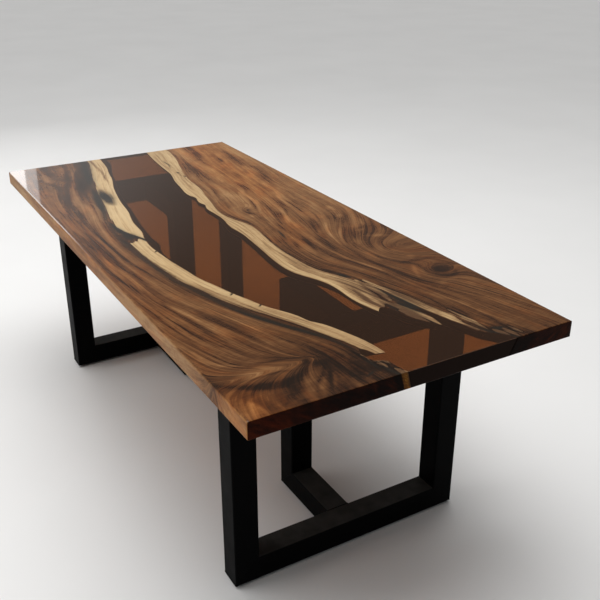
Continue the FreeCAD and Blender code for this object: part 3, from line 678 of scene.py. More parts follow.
# A ring round the smaller knot of the back slab
KNOT_RING = [(612 + 52 * math.cos(turn), 388 + 46 * math.sin(turn))
             for turn in np.linspace(-2.6, 2.9, 13)]
BACK_MARKS = [
    ("dark", 9, 0.4, [(-1055, 207), (-900, 194), (-800, 168), (-700, 138), (-640, 124)]),
    ("dark", 24, 0.8, [(-900, 208), (-780, 192), (-620, 178), (-480, 180)]),
    ("dark", 9, 0.6, [(-690, 130), (-600, 119), (-500, 115), (-420, 107), (-330, 95)]),
    ("dark", 10, 0.5, [(-720, 112), (-640, 106), (-560, 98), (-500, 98)]),
    ("dark", 3, 1.0, [(-740, 112), (-690, 107), (-640, 102)]),
    ("light", 14, 0.7, [(-1055, 252), (-900, 236), (-800, 226), (-700, 238), (-600, 234),
                        (-500, 226), (-350, 220)]),
    ("dark", 24, 0.9, [(-1060, 296), (-920, 286), (-800, 262)]),
    ("light", 12, 0.5, [(-1000, 338), (-900, 330), (-820, 316)]),
    ("dark", 9, 0.8, [(-830, 342), (-780, 340), (-730, 337)]),
    ("light", 14, 0.9, [(-980, 463), (-850, 456), (-700, 450), (-590, 440)]),
    ("dark", 24, 0.8, [(-930, 420), (-800, 405), (-700, 402), (-590, 410)]),
    ("dark", 22, 0.9, [(-640, 424), (-540, 402), (-450, 375), (-320, 352)]),
    ("light", 11, 0.7, [(-700, 374), (-610, 376), (-540, 355), (-480, 341), (-360, 336)]),
    ("dark", 9, 0.6, [(-600, 308), (-520, 300), (-460, 297)]),
    ("light", 9, 0.7, [(-490, 290), (-400, 282), (-320, 274)]),
    ("dark", 10, 0.8, [(-470, 259), (-380, 250), (-320, 244)]),
    ("dark", 12, 0.6, [(-700, 223), (-600, 197), (-500, 190), (-330, 185)]),
    ("light", 12, 0.6, [(-450, 168), (-350, 160), (-240, 158)]),
    ("light", 12, 0.8, [(-400, 342), (-300, 332), (-200, 303), (-110, 295)]),
    ("dark", 12, 0.7, [(-260, 298), (-170, 284), (-60, 260)]),
    ("light", 11, 0.8, [(-410, 232), (-320, 216), (-230, 214), (-150, 190), (-115, 178)]),
    ("dark", 8, 1.0, [(-330, 205), (-250, 200), (-200, 190), (-150, 176), (-100, 158)]),
    ("dark", 4, 0.9, [(-115, 162), (-50, 150), (25, 142)]),
    ("light", 13, 0.8, [(-215, 170), (-172, 158)]),
    ("dark", 20, 0.7, [(-185, 146), (-140, 140), (-90, 128)]),
    ("slate", 8, 0.5, [(-172, 152), (-130, 138)]),
    ("light", 9, 0.8, [(-112, 133), (-72, 125)]),
    ("dark", 10, 0.8, [(-330, 126), (-280, 115), (-200, 98), (-140, 90)]),
    ("dark", 9, 1.0, [(-215, 62), (-150, 60), (-90, 72), (-60, 82), (0, 92), (50, 91)]),
    ("dark", 5, 0.9, [(40, 90), (110, 78), (160, 68), (220, 65), (300, 68)]),
    ("dark", 10, 0.5, [(230, 46), (300, 43), (350, 48), (400, 56), (460, 66)]),
    ("dark", 3, 0.8, [(130, 45), (180, 42), (250, 37)]),
    ("dark", 16, 0.9, [(-95, 227), (-40, 218), (5, 200)]),
    ("light", 9, 0.8, [(-95, 249), (0, 218), (65, 195)]),
    ("dark", 14, 1.0, [(15, 292), (80, 272), (130, 252), (170, 234)]),
    ("light", 7, 0.9, [(85, 318), (150, 282), (200, 266), (305, 245)]),
    ("light", 8, 0.9, [(135, 343), (200, 302), (250, 276), (315, 254)]),
    ("dark", 6, 0.8, [(40, 382), (100, 356), (150, 330), (210, 288)]),
    ("light", 12, 0.8, [(-65, 408), (5, 410)]),
    ("light", 10, 0.7, [(35, 402), (80, 378)]),
    ("light", 10, 0.9, [(105, 435), (185, 412)]),
    ("light", 12, 0.8, [(302, 440), (282, 395), (260, 348)]),
    ("light", 9, 0.6, [(208, 405), (214, 355)]),
    ("dark", 22, 0.5, [(15, 392), (75, 378), (140, 360)]),
    ("dark", 30, 0.6, [(180, 420), (215, 350), (290, 320)]),
    ("dark", 6, 0.9, [(5, 167), (60, 160), (115, 151)]),
    ("slate", 5, 0.8, [(60, 140), (120, 130), (180, 116)]),
    ("dark", 8, 0.9, [(135, 185), (200, 171), (310, 153)]),
    ("light", 9, 0.7, [(115, 203), (200, 195), (300, 187), (400, 199)]),
    ("dark", 16, 0.6, [(170, 222), (230, 212), (340, 202)]),
    ("light", 7, 0.6, [(165, 153), (250, 144), (330, 137)]),
    ("dark", 8, 0.6, [(195, 131), (265, 112)]),
    ("dark", 8, 0.7, [(245, 108), (330, 108), (380, 115), (420, 130), (470, 155), (520, 172),
                      (580, 184), (640, 190)]),
    ("light", 9, 0.5, [(440, 118), (500, 142), (560, 158), (620, 170)]),
    ("slate", 6, 1.5, [(474, 106), (494, 115), (512, 122), (532, 132)]),
    ("dark", 6, 0.9, [(425, 88), (460, 101), (485, 112)]),
    ("dark", 4, 1.0, [(545, 141), (566, 142), (585, 141)]),
    # The spalted stretch near the end: tan sapwood with dark lines and thin pale edges
    ("light", 8, 1.0, [(430, 44), (520, 56), (600, 61), (680, 62), (770, 78)]),
    ("dark", 26, 0.5, [(480, 92), (560, 98), (640, 104), (700, 104), (760, 100)]),
    ("dark", 5, 1.4, [(590, 91), (640, 85), (700, 88), (770, 96)]),
    ("dark", 5, 1.0, [(560, 133), (620, 126), (700, 128), (740, 122)]),
    ("light", 5, 1.0, [(625, 99), (680, 99), (735, 106)]),
    ("slate", 10, 0.4, [(720, 122), (760, 112), (800, 104)]),
    ("slate", 7, 1.3, [(610, 150), (660, 154), (710, 161), (760, 169), (870, 188)]),
    ("slate", 11, 1.0, [(680, 148), (740, 151), (800, 164), (850, 178)]),
    ("sap", 10, 1.0, [(550, 132), (612, 140), (660, 142), (710, 140)]),
    ("sap", 10, 1.0, [(560, 151), (620, 161), (680, 176), (740, 187), (790, 195), (850, 207),
                     (880, 213), (925, 218), (968, 227)]),
    ("sap", 14, 1.0, [(825, 203), (860, 210), (908, 217)]),
    ("light", 8, 0.9, [(832, 206), (870, 213), (930, 219)]),
    ("dark", 13, 0.8, [(520, 134), (600, 140), (700, 142), (780, 140)]),
    ("dark", 18, 0.8, [(600, 176), (700, 187), (770, 197), (815, 204)]),
    ("dark", 4, 0.8, [(640, 168), (700, 178), (760, 186), (810, 192)]),
    ("dark", 18, 0.6, [(880, 212), (940, 222), (1000, 240)]),
    ("sap", 9, 1.0, [(680, 112), (740, 128), (775, 139), (800, 147), (850, 160), (915, 169)]),
    ("dark", 15, 1.0, [(650, 110), (740, 121), (800, 134), (860, 144), (940, 160)]),
    ("dark", 5, 0.8, [(700, 120), (750, 133), (800, 148), (850, 158)]),
    ("sap", 10, 0.9, [(775, 122), (830, 135), (876, 146)]),
    ("dark", 4, 1.2, [(730, 118), (790, 138), (850, 150), (890, 158)]),
    ("dark", 4, 0.6, [(740, 204), (810, 224), (851, 230)]),
    ("sap", 6, 0.6, [(835, 239), (880, 242), (925, 245), (985, 251)]),
    ("dark", 14, 0.6, [(780, 236), (880, 242), (960, 248)]),
    ("light", 6, 0.7, [(850, 226), (900, 232), (970, 238)]),
    ("sap", 9, 0.9, [(985, 262), (1008, 266), (1030, 275)]),
    ("sap", 5, 0.9, [(985, 287), (1020, 291), (1045, 296)]),
    ("sap", 5, 0.9, [(988, 308), (1012, 312), (1034, 317)]),
    ("dark", 34, 1.3, [(950, 262), (1010, 286), (1070, 316)]),
    ("slate", 8, 1.0, [(968, 262), (985, 276), (988, 300)]),
    ("slate", 6, 0.8, [(930, 228), (970, 238), (1000, 252), (1060, 292)]),
    # The lines are faint round the knots
    ("calm", 110, 0.8, [(250, 420), (390, 400), (530, 420)]),
    ("calm", 70, 0.7, [(560, 400), (612, 385), (690, 400)]),
    ("calm", 130, 0.6, [(-1300, 380), (-800, 340), (-300, 300)]),
    ("warm", 110, 0.9, [(-1200, 360), (-700, 300), (-350, 290), (-60, 220)]),
    ("warm", 60, 0.6, [(-60, 240), (150, 160), (300, 120)]),
    ("dark", 9, 0.9, [(295, 250), (400, 248), (470, 254), (520, 264), (600, 282), (650, 300),
                      (700, 326), (760, 350), (835, 384)]),
    ("light", 9, 0.8, [(250, 320), (300, 300), (340, 286), (400, 280), (485, 282)]),
    ("light", 8, 0.8, [(300, 190), (400, 200), (450, 218), (500, 236), (565, 251)]),
    ("dark", 7, 0.8, [(345, 163), (430, 200), (500, 222), (570, 240)]),
    ("light", 8, 0.8, [(535, 347), (580, 322), (630, 302)]),
    ("light", 12, 0.6, [(672, 352), (700, 332)]),
    ("dark", 12, 0.7, [(526, 445), (515, 380), (508, 308)]),
    ("light", 12, 0.6, [(486, 395), (474, 365)]),
    ("light", 12, 0.5, [(710, 405), (750, 412)]),
    ("light", 12, 0.6, [(790, 298), (860, 306)]),
    ("light", 10, 0.7, [(985, 322), (1055, 316)]),
    ("dark", 7, 0.7, [(890, 299), (950, 303), (990, 300)]),
    ("light", 8, 0.6, [(690, 252), (760, 275), (810, 292)]),
    ("dark", 8, 0.5, [(620, 205), (700, 232), (800, 255), (900, 270)]),
    ("dark", 9, 0.6, KNOT_RING),
    ("dark", 44, 0.9, [(590, 350), (612, 390), (625, 430)]),
    ("slate", 3, 1.0, [(-907, 120), (-823, 121), (-760, 104)]),
    ("slate", 4, 1.0, [(-710, 108), (-690, 112)]),
    ("slate", 4, 1.0, [(-650, 112), (-630, 117)]),
]

# A stroke fades over this share of its length at each end, down to this share of its width
STROKE_FADE = 0.4
STROKE_TIP = 0.4
# The value of the sapwood's edge grows to 1 over this distance
SAP_REACH = 20.0


def stroke_share(points, line, half_width):
    """How far points lie off a stroke, in half widths, and how strong it is beside them."""
    line = np.array(line, float)
    travel = along(line)
    nearest = np.full(len(points), np.inf)
    place = np.zeros(len(points))
    for start, end, gone in zip(line, line[1:], travel):
        course = end - start
        length = math.hypot(*course)
        share = np.clip(((points - start) @ course) / length ** 2, 0, 1)
        off = np.hypot(*(points - start - share[:, None] * course).T)
        closer = off < nearest
        nearest[closer] = off[closer]
        place[closer] = gone + share[closer] * length
    fade = STROKE_FADE * travel[-1]
    ends = [place, travel[-1] - place]
    for k, x in enumerate((line[0][0], line[-1][0])):
        if abs(x) > HALF_LENGTH:
            ends[k] = np.full(len(points), fade)
    taper = np.clip(np.minimum(*ends) / fade, 0, 1)
    return nearest / (half_width * (STROKE_TIP + (1 - STROKE_TIP) * taper)), np.sqrt(taper)


def wood_marks(points, grain, marks):
    """Sapwood, tone, slate, calm and warmth at points of a slab."""
    sap = (points[:, 1] - grain.edge(points[:, 0])) * -grain.side
    tone = np.zeros(len(points))
    spreads = {kind: np.zeros(len(points)) for kind in ("slate", "calm", "warm")}
    for kind, half_width, strength, line in marks:
        off, weight = stroke_share(points, line, half_width)
        spread = np.exp(-off ** 2) * weight * strength
        if kind == "light":
            tone += spread
        elif kind == "dark":
            tone -= spread
        elif kind == "sap":
            sap = np.maximum(sap, (1 - off) * half_width)
        elif kind == "heart":
            sap = np.minimum(sap, (off - 1) * half_width)
        else:
            spreads[kind] = np.maximum(spreads[kind], spread)
    return np.clip(sap / SAP_REACH, -1, 1), np.clip(tone, -1, 1), *spreads.values()


# Slab meshes

TOP_GRID = (6.0, 3.0)
UNDER_GRID = (14.0, 7.0)
GRID_CLEARANCE = 0.55
MERGE_DISTANCE = 1e-5
# Depths of rows down a slab's side: over the eased edges by angle, at the end of the
# rounded long edge, and evenly between
EASED_ANGLES = (0, 30, 60, 90)
SHOULDER = 3.2
MIDDLE_ROWS = 8
# Relief of the bark side: its least and usual height, how much it varies, how far it
# starts from a face, and the size of its bumps along and down the side
BARK_LEAST = 0.15
BARK_RELIEF = 1.3
BARK_SHARE = 0.75
BARK_VARIATION = 0.7
BARK_MARGIN = 5.0
BARK_BUMPS = (14, 9)
# noise.fractal's settings of it: how fast the bumps get weaker and finer, and how often
BARK_NOISE = (0.6, 2.1, 3)
# How far from the sapwood the figure of the underside still follows the lower live edge
UNDER_REACH = 150.0


def row_depths():
    """Depths of the rows of points down a slab's side, closer over the eased edges."""
    eased = EASED_EDGE * (1 - np.cos(np.radians(EASED_ANGLES)))
    middle = np.linspace(LONG_EDGE, THICKNESS - EASED_EDGE, MIDDLE_ROWS + 1)[:-1]
    return np.concatenate([eased, [SHOULDER], middle, THICKNESS - eased[::-1]])


def inset(near, radius):
    """How far a rounded edge holds the outline in, near a face."""
    if near >= radius:
        return 0.0
    return radius - math.sqrt(radius ** 2 - (radius - near) ** 2)


def inside(points, outline):
    """Which points lie inside a closed outline."""
    result = np.zeros(len(points), bool)
    x, y = points.T
    for (x1, y1), (x2, y2) in zip(outline, np.roll(outline, -1, axis=0)):
        if y1 != y2:
            result ^= ((y1 > y) != (y2 > y)) & (x < (x2 - x1) * (y - y1) / (y2 - y1) + x1)
    return result


def filled(outline, grid):
    """The points of a grid inside an outline, and triangles over it.

    The triangles count the outline's points first.
    """
    step_x, step_y = grid
    low, high = outline.min(0), outline.max(0)
    rows = np.arange(low[1] + step_y / 2, high[1], step_y)
    columns = np.arange(low[0] + step_x / 2, high[0], step_x)
    x, y = np.meshgrid(columns, rows)
    x = x + (np.arange(len(rows)) % 2)[:, None] * step_x / 2
    points = np.column_stack([x.ravel(), y.ravel()])
    points = points[inside(points, outline)]
    tree = kdtree.KDTree(len(outline))
    for k, place in enumerate(outline):
        tree.insert((*place, 0), k)
    tree.balance()
    clear = [tree.find((*place, 0))[2] > GRID_CLEARANCE * step_y for place in points]
    points = np.vstack([outline, points[clear]])
    ring = list(range(len(outline)))
    made = geometry.delaunay_2d_cdt([Vector(p) for p in points.tolist()], [], [ring], 1,
                                    MERGE_DISTANCE)
    source = [origins[0] for origins in made[3]]
    if len(source) != len(points):
        raise ValueError("the outline of a slab crosses itself")
    return points[len(outline):], [[source[k] for k in face] for face in made[2]]


def slab_plan(name, side):
    """The outline of a slab's upper face, how far each of its points shifts on the way
    down to the lower face, and how many of them lie on the live edge, which comes first.
    """
    upper, lower = matched_edges(name)
    corners = [(HALF_LENGTH, side * HALF_WIDTH), (-HALF_LENGTH, side * HALF_WIDTH)]
    outer = [upper[-1], *map(np.array, corners), upper[0]]
    straight = [resampled(np.array([a, b]), round(math.dist(a, b) / STRAIGHT_STEP))[:-1]
                for a, b in zip(outer, outer[1:])]
    top = np.vstack([upper, np.vstack(straight)[1:]])
    live_count = len(upper)
    shift = np.zeros_like(top)
    shift[:live_count] = lower - upper
    # The points of the ends spread out evenly between the live edge and the outer corner
    for end, x in ((0, -HALF_LENGTH), (live_count - 1, HALF_LENGTH)):
        beside = np.flatnonzero(np.abs(top[:, 0] - x) < TOLERANCE)
        beside = beside[beside >= live_count]
        fade = 1 - np.abs(top[beside, 1] - top[end, 1]) / abs(side * HALF_WIDTH - top[end, 1])
        shift[beside] = fade[:, None] * (lower[end] - upper[end])
    return top, shift, live_count


def slab_side(top, shift, live, side):
    """Rings of points down a slab's side, with the bark's relief, and their references.

    A reference is the place on the upper face, the depth below it and the share of bark.
    """
    course = np.roll(top, -1, axis=0) - np.roll(top, 1, axis=0)
    away = np.column_stack([course[:, 1], -course[:, 0]]) * side
    away /= np.hypot(*away.T)[:, None]
    wide, tall = BARK_BUMPS
    rings, references = [], []
    for depth in row_depths():
        near = min(depth, THICKNESS - depth)
        bark = live * float(np.clip(near / BARK_MARGIN, 0, 1))
        rough = np.array([noise.fractal(Vector((x / wide, y / wide, depth / tall)), *BARK_NOISE)
                          for x, y in top])
        relief = bark * BARK_RELIEF * (BARK_SHARE + BARK_VARIATION * rough)
        relief = np.maximum(relief, BARK_LEAST * bark)
        ring = top + shift * (depth / THICKNESS) + away * relief[:, None]
        hold = inset(near, EASED_EDGE)
        ring[:, 0] = np.clip(ring[:, 0], -HALF_LENGTH + hold, HALF_LENGTH - hold)
        hold = max(hold, inset(depth, LONG_EDGE))
        ring[:, 1] = np.clip(ring[:, 1], -HALF_WIDTH + hold, HALF_WIDTH - hold)
        rings.append(np.column_stack([ring, np.full(len(ring), TOP_HEIGHT - depth)]))
        references.append(np.column_stack([top, np.full(len(ring), depth), bark]))
    return rings, references


def build_slab(name, grain, marks, shades):
    """A slab as a fine mesh, with the wood's course and marks at its points."""
    top, shift, live_count = slab_plan(name, grain.side)
    count = len(top)
    live = (np.arange(count) < live_count).astype(float)
    rings, references = slab_side(top, shift, live, grain.side)
    faces = band_faces(len(rings), count)
    if grain.side < 0:
        faces = [face[::-1] for face in faces]
    smooth = [True] * len(faces)

    points, reference = np.vstack(rings), np.vstack(references)
    by_x = np.argsort(top[:live_count, 0])
    slope_x, slope_y = top[by_x, 0], shift[by_x, 1]
    for row, depth, grid in ((0, 0.0, TOP_GRID), (len(rings) - 1, THICKNESS, UNDER_GRID)):
        inner, triangles = filled(rings[row][:, :2], grid)
        start = len(points)
        for triangle in triangles:
            face = [row * count + k if k < count else start + k - count for k in triangle]
            faces.append(face[::-1] if row else face)
        smooth += [False] * len(triangles)
        level = np.full(len(inner), TOP_HEIGHT - depth)
        points = np.vstack([points, np.column_stack([inner, level])])
        moved = inner.copy()
        if row:
            off = np.abs(inner[:, 1] - grain.edge(inner[:, 0]))
            moved[:, 1] -= np.interp(inner[:, 0], slope_x, slope_y) * np.exp(-off / UNDER_REACH)
        rest = np.column_stack([np.full(len(inner), depth), np.zeros(len(inner))])
        reference = np.vstack([reference, np.column_stack([moved, rest])])

    slab = build_mesh(f"{name}_wood", points * MM, faces, smooth)
    x, y, below, bark = reference.T
    grain_course = np.column_stack([grain.depth(x, y, below), x, TOP_HEIGHT - below]) * MM
    write_values(slab, "grain", "FLOAT_VECTOR", "vector", grain_course)
    sap, tone, slate, calm, warm = wood_marks(reference[:, :2], grain, marks)
    write_values(slab, "marks", "FLOAT_COLOR", "color", np.column_stack([sap, tone, slate, bark]))
    places, *rows = np.array(shades, float).T
    shade = np.column_stack([*(np.interp(x, places, row) for row in rows), calm])
    write_values(slab, "shade", "FLOAT_VECTOR", "vector", shade)
    write_values(slab, "warmth", "FLOAT", "value", warm)
    return slab


# Welds of the bases

TUBE_HALF = 37.5
TUBE_CORNER = 4.5
CORNER_POINTS = 7
WELD_STEP = 1.1
WELD_SIDES = 8
# Half the width and half the height of a seam
MITRE_WELD = (1.5, 0.45)
BUTT_WELD = (2.0, 1.6)
# Ripples of a seam: their length, their height as a share of the seam's, slow swells by
# share and length, and how much of its width stays the same
WELD_RIPPLE = 2.4
RIPPLE_SHARE = 0.22
SWELL_SHARE = 0.3
SWELL_LENGTH = 9
STEADY_WIDTH = 0.7


def tube_outline():
    """Points at even steps round a square tube, and the way out of the tube at each."""
    starts = np.radians([0, 90, 180, 270])
    quarter = np.linspace(0, math.pi / 2, CORNER_POINTS)
    turns = (starts[:, None] + quarter).ravel()
    out = np.column_stack([np.cos(turns), np.sin(turns)])
    diagonals = starts + math.pi / 4
    middles = np.sign(np.column_stack([np.cos(diagonals), np.sin(diagonals)]))
    middles = np.repeat(middles, CORNER_POINTS, axis=0)
    points = middles * (TUBE_HALF - TUBE_CORNER) + out * TUBE_CORNER
    points, out = (np.vstack([rows, rows[:1]]) for rows in (points, out))
    travel = along(points)
    steps = np.linspace(0, travel[-1], round(travel[-1] / WELD_STEP) + 1)[:-1]
    return [np.column_stack([np.interp(steps, travel, rows[:, k]) for k in (0, 1)])
            for rows in (points, out)]


def middle(node):
    """The middle of a CAD node's box in millimetres."""
    low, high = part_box(node)
    return (np.array(low) + np.array(high)) / 2 / MM


def weld_places(side):
    """Each weld of a base: its middle, the directions of its two sides, and its size."""
    places = []
    for level, up in (("bottom", -1), ("top", 1)):
        bar = middle(f"{side}_{level}_bar")
        for leg in ("front_leg", "back_leg"):
            x, y, _ = middle(f"{side}_{leg}")
            places.append(((x, y, bar[2]), (1, 0, 0), (0, np.sign(y), up), MITRE_WELD))
        x, y, _ = middle(f"{side}_centre_leg")
        places.append(((x, y, bar[2]), (0, 1, 0), (-np.sign(x), 0, up), MITRE_WELD))
        face = bar[0] - np.sign(bar[0]) * TUBE_HALF
        places.append(((face, y, bar[2]), (0, 1, 0), (0, 0, 1), BUTT_WELD))
    return places


def build_welds(side):
    """Rippled weld seams: ground low on the mitres, full where a rail meets a bar."""
    outline, out = tube_outline()
    turns = np.linspace(0, FULL_TURN, WELD_SIDES + 1)[:-1]
    points, faces = [], []
    for place, across, up, (wide, tall) in weld_places(side):
        plane = np.array([across, up], float)
        path = np.array(place) + outline @ plane
        outward = out @ (plane / (plane ** 2).sum(1)[:, None])
        outward /= np.linalg.norm(outward, axis=1)[:, None]
        sideways = np.cross(*plane)
        sideways /= np.linalg.norm(sideways)
        travel = np.arange(len(path)) * WELD_STEP
        ripple = 1 + RIPPLE_SHARE * np.sin(travel * FULL_TURN / WELD_RIPPLE)
        ripple += [SWELL_SHARE * noise.noise(Vector(p) / SWELL_LENGTH) for p in path.tolist()]
        faces += band_faces(len(path), WELD_SIDES, len(points) * WELD_SIDES, closed=True)
        for point, away, swell in zip(path, outward, ripple):
            width = wide * (STEADY_WIDTH + (1 - STEADY_WIDTH) * swell)
            points.append(point + np.outer(np.sin(turns) * tall * swell, away)
                          + np.outer(np.cos(turns) * width, sideways))
    return build_mesh(f"{side}_welds", np.vstack(points) * MM, faces)


# Levelling feet

SHARP_ANGLE = math.radians(32)
STEM_STEPS = 36
STEM_RADIUS = 5.0
NECK_RADIUS = 4.8
TIP_RADIUS = 3.7
TIP_HEIGHT = 0.6
DISC_RADIUS = 7.0
DISC_HEIGHT = 2.0
# How far in and how high the disc's edges are bevelled
DISC_BEVEL = (0.4, 0.3)
HEX_FLAT = 7.0
HEX_BOTTOM = 5.3
HEX_TOP = 6.8
# The corners of the hexagon are turned off to this radius over this height
HEX_BEVEL = (7.5, 0.25)
# How much longer one side of a stem's box has to be to show where the corners point
SIZE_MARGIN = 0.1
THREAD_PITCH = 1.5
THREAD_DEPTH = 0.75
THREAD_STEPS = 6
# Where the thread starts over the hexagon, and where it ends below the tip
THREAD_ENDS = (0.3, 0.7)
# The flanks are drawn this much too deep and cut off, so that crest and root are flat
THREAD_FLANK = 1.25
PAD_STEPS = 120
PAD_RIBS = 30
RIB_DEPTH = 0.014
# The pad's section by height and radius: under it, then over its crown into the socket
PAD_UNDERSIDE = [(0.5, 1.0), (0.5, 11.5), (0.0, 12.2)]
PAD_CROWN = [(3.62, 17.6), (4.35, 14.4), (4.75, 12.9), (4.95, 12.0), (5.0, 11.0), (5.0, 5.7),
             (4.8, 5.35), (4.1, 5.35), (4.1, 7.3), (1.5, 7.3), (1.5, 1.0)]
# Its rim between them: the height, how far in from the pad's radius, and whether it has ribs
PAD_RIM = [(0.0, 0.9, False), (0.15, 0.35, False), (0.5, 0.0, True), (2.9, 0.0, True),
           (3.25, 0.3, True), (3.4, 0.9, False)]


def build_turned(name, place, rows):
    """A closed piece turned round an upright line, from rows of height and radii all round."""
    count = len(rows[0][1])
    turns = np.arange(count) * FULL_TURN / count
    points = np.vstack([np.column_stack([place[0] + radii * np.cos(turns),
                                         place[1] + radii * np.sin(turns),
                                         np.full(count, height)]) for height, radii in rows])
    faces = [(a, d, c, b) for a, b, c, d in band_faces(len(rows), count)]
    faces.append(list(range(count))[::-1])
    faces.append([(len(rows) - 1) * count + k for k in range(count)])
    made = build_mesh(name, points * MM, faces)
    made.data.set_sharp_from_angle(angle=SHARP_ANGLE)
    return made


def build_stem(side, spot):
    """A threaded stem with its swivel disc and a hexagon for the wrench."""
    node = f"{side}_{spot}_foot_stem"
    low, high = (np.array(corner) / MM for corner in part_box(node))
    turns = np.arange(STEM_STEPS) * FULL_TURN / STEM_STEPS
    ones = np.ones(STEM_STEPS)
    hexagon = HEX_FLAT / np.cos(turns % (math.pi / 3) - math.pi / 6)
    # The corners of the hexagon point along the longer side of the CAD stem's box
    if high[1] - low[1] > high[0] - low[0] + SIZE_MARGIN:
        hexagon = np.roll(hexagon, STEM_STEPS // 12)
    bottom, top = low[2], high[2]
    disc_in, disc_bevel = DISC_BEVEL
    disc_rim = DISC_RADIUS - disc_in
    disc_top = bottom + DISC_HEIGHT
    corner, hex_bevel = HEX_BEVEL
    root = STEM_RADIUS - THREAD_DEPTH
    rows = [(bottom, ones * disc_rim), (bottom + disc_bevel, ones * DISC_RADIUS),
            (disc_top - disc_bevel, ones * DISC_RADIUS), (disc_top, ones * disc_rim),
            (disc_top, ones * NECK_RADIUS), (HEX_BOTTOM, ones * NECK_RADIUS),
            (HEX_BOTTOM, np.minimum(hexagon, corner)), (HEX_BOTTOM + hex_bevel, hexagon),
            (HEX_TOP - hex_bevel, hexagon), (HEX_TOP, np.minimum(hexagon, corner)),
            (HEX_TOP, ones * root)]
    thread_start, thread_end = HEX_TOP + THREAD_ENDS[0], top - THREAD_ENDS[1]
    for height in np.arange(thread_start, thread_end, THREAD_PITCH / THREAD_STEPS):
        phase = (height / THREAD_PITCH - turns / FULL_TURN) % 1
        cut = THREAD_FLANK * np.abs(2 * phase - 1) - (THREAD_FLANK - 1) / 2
        rows.append((height, STEM_RADIUS - THREAD_DEPTH * np.clip(cut, 0, 1)))
    rows += [(top - TIP_HEIGHT, ones * root), (top, ones * TIP_RADIUS)]
    return build_turned(f"{node}_threaded", (low + high) / 2, rows)


def build_pad(side, spot):
    """A round pad: gripping ribs on its rim, a soft crown, and the socket of the stem's disc."""
    node = f"{side}_{spot}_foot_pad"
    low, high = (np.array(corner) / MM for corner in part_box(node))
    turns = np.arange(PAD_STEPS) * FULL_TURN / PAD_STEPS
    ones = np.ones(PAD_STEPS)
    ribs = 1 - RIB_DEPTH * (0.5 - 0.5 * np.cos(turns * PAD_RIBS)) ** 0.5
    rim = (high[0] - low[0]) / 2
    rows = [(height, ones * radius) for height, radius in PAD_UNDERSIDE]
    rows += [(height, (ribs if ribbed else ones) * (rim - inward))
             for height, inward, ribbed in PAD_RIM]
    rows += [(height, ones * radius) for height, radius in PAD_CROWN]
    return build_turned(f"{node}_moulded", (low + high) / 2, rows)


# Materials

# Patterns of the wood: how often they repeat per metre across the grain, along it and down
SLOW_WAVES = (14, 3.2, 10)
SMALL_WAVES = (70, 16, 50)
BANDS = (34, 1.8, 20)
CLOUDS = (26, 11, 20)
STREAKS = (125, 3.4, 80)
LINES = (300, 6, 200)
FIBRES = (1500, 30, 1000)
RIPPLE = (40, 130, 60)
PORES = (1250, 60, 1250)
CLEARINGS = (12, 1.6, 9)
HUES = (26, 8, 20)
RINGS = 66.0

HEART_COLOURS = [
    (0.02, (0.013, 0.0068, 0.0038)), (0.20, (0.041, 0.0162, 0.0070)),
    (0.38, (0.103, 0.0395, 0.0142)), (0.55, (0.195, 0.0830, 0.0305)),
    (0.72, (0.312, 0.149, 0.0590)), (0.92, (0.44, 0.245, 0.106)),
]
HEART_HUES = [(0.0, (0.97, 1.02, 1.04)), (1.0, (1.05, 0.97, 0.88))]
WARM_HUE = (1.16, 0.93, 0.66)
SAP_COLOURS = [
    (0.02, (0.100, 0.050, 0.024)), (0.25, (0.33, 0.196, 0.090)),
    (0.48, (0.575, 0.396, 0.198)), (0.80, (0.72, 0.545, 0.315)),
]
STAIN_COLOUR = (0.020, 0.0150, 0.0105)
PORE_COLOUR = (0.018, 0.010, 0.007)
BARK_COLOURS = [(0.2, (0.008, 0.0045, 0.003)), (0.9, (0.050, 0.027, 0.015))]
# End grain drinks more finish: heartwood is darker there, partly its own colour and partly
# painted shade of the ends, which face away from the light, and sapwood turns amber
END_HEART_WITH_SHADE = (0.21, 0.085, 0.034)
END_SAP = (1.0, 0.72, 0.28)

# The resin's colour is a little darker towards the near end
FAR_RESIN = (0.68, 0.345, 0.185)
NEAR_RESIN = (0.54, 0.25, 0.125)
RESIN_ENDS = (0.012, 0.006, 0.004)
RESIN_DEPTH = (0.66, 0.52, 0.25, 1)
RESIN_DENSITY = 64.0

COAT_COLOURS = [(0.25, (0.0016, 0.0016, 0.0018)), (0.75, (0.0026, 0.0026, 0.0028))]
# Paler colour of the lower ledges: dust, and painted sheen where the ledges would mirror the
# window
DUST_AND_SHEEN_COLOUR = (0.20, 0.19, 0.175)
PLASTIC_COLOURS = [(0.3, (0.018, 0.018, 0.018)), (0.75, (0.028, 0.027, 0.026))]
# How often the turning marks of a metal repeat per metre, across it and up
TURNING_MARKS = (90, 90, 4200)
# Dark and light colour of a metal, and its least and greatest roughness
ZINC = ((0.42, 0.43, 0.44), (0.58, 0.59, 0.60), 0.28, 0.42)
BRASS = ((0.52, 0.36, 0.13), (0.66, 0.48, 0.20), 0.26, 0.40)


def wandering_course(shader):
    """Coordinates of the grain, whose course wanders: slow waves, then small ones."""
    grain = shader.attribute("grain", "Vector")
    slow = shader.noise(shader.stretch(grain, SLOW_WAVES), detail=2)
    small = shader.noise(shader.stretch(grain, SMALL_WAVES), detail=3)
    wander = shader.weighted([(slow, 0.014), (small, 0.004)])
    made = shader.add("VectorMath", operation="ADD")
    shader.give(made.inputs[0], grain)
    shader.give(made.inputs[1], shader.add("CombineXYZ", {"X": wander}).outputs[0])
    return made.outputs[0]


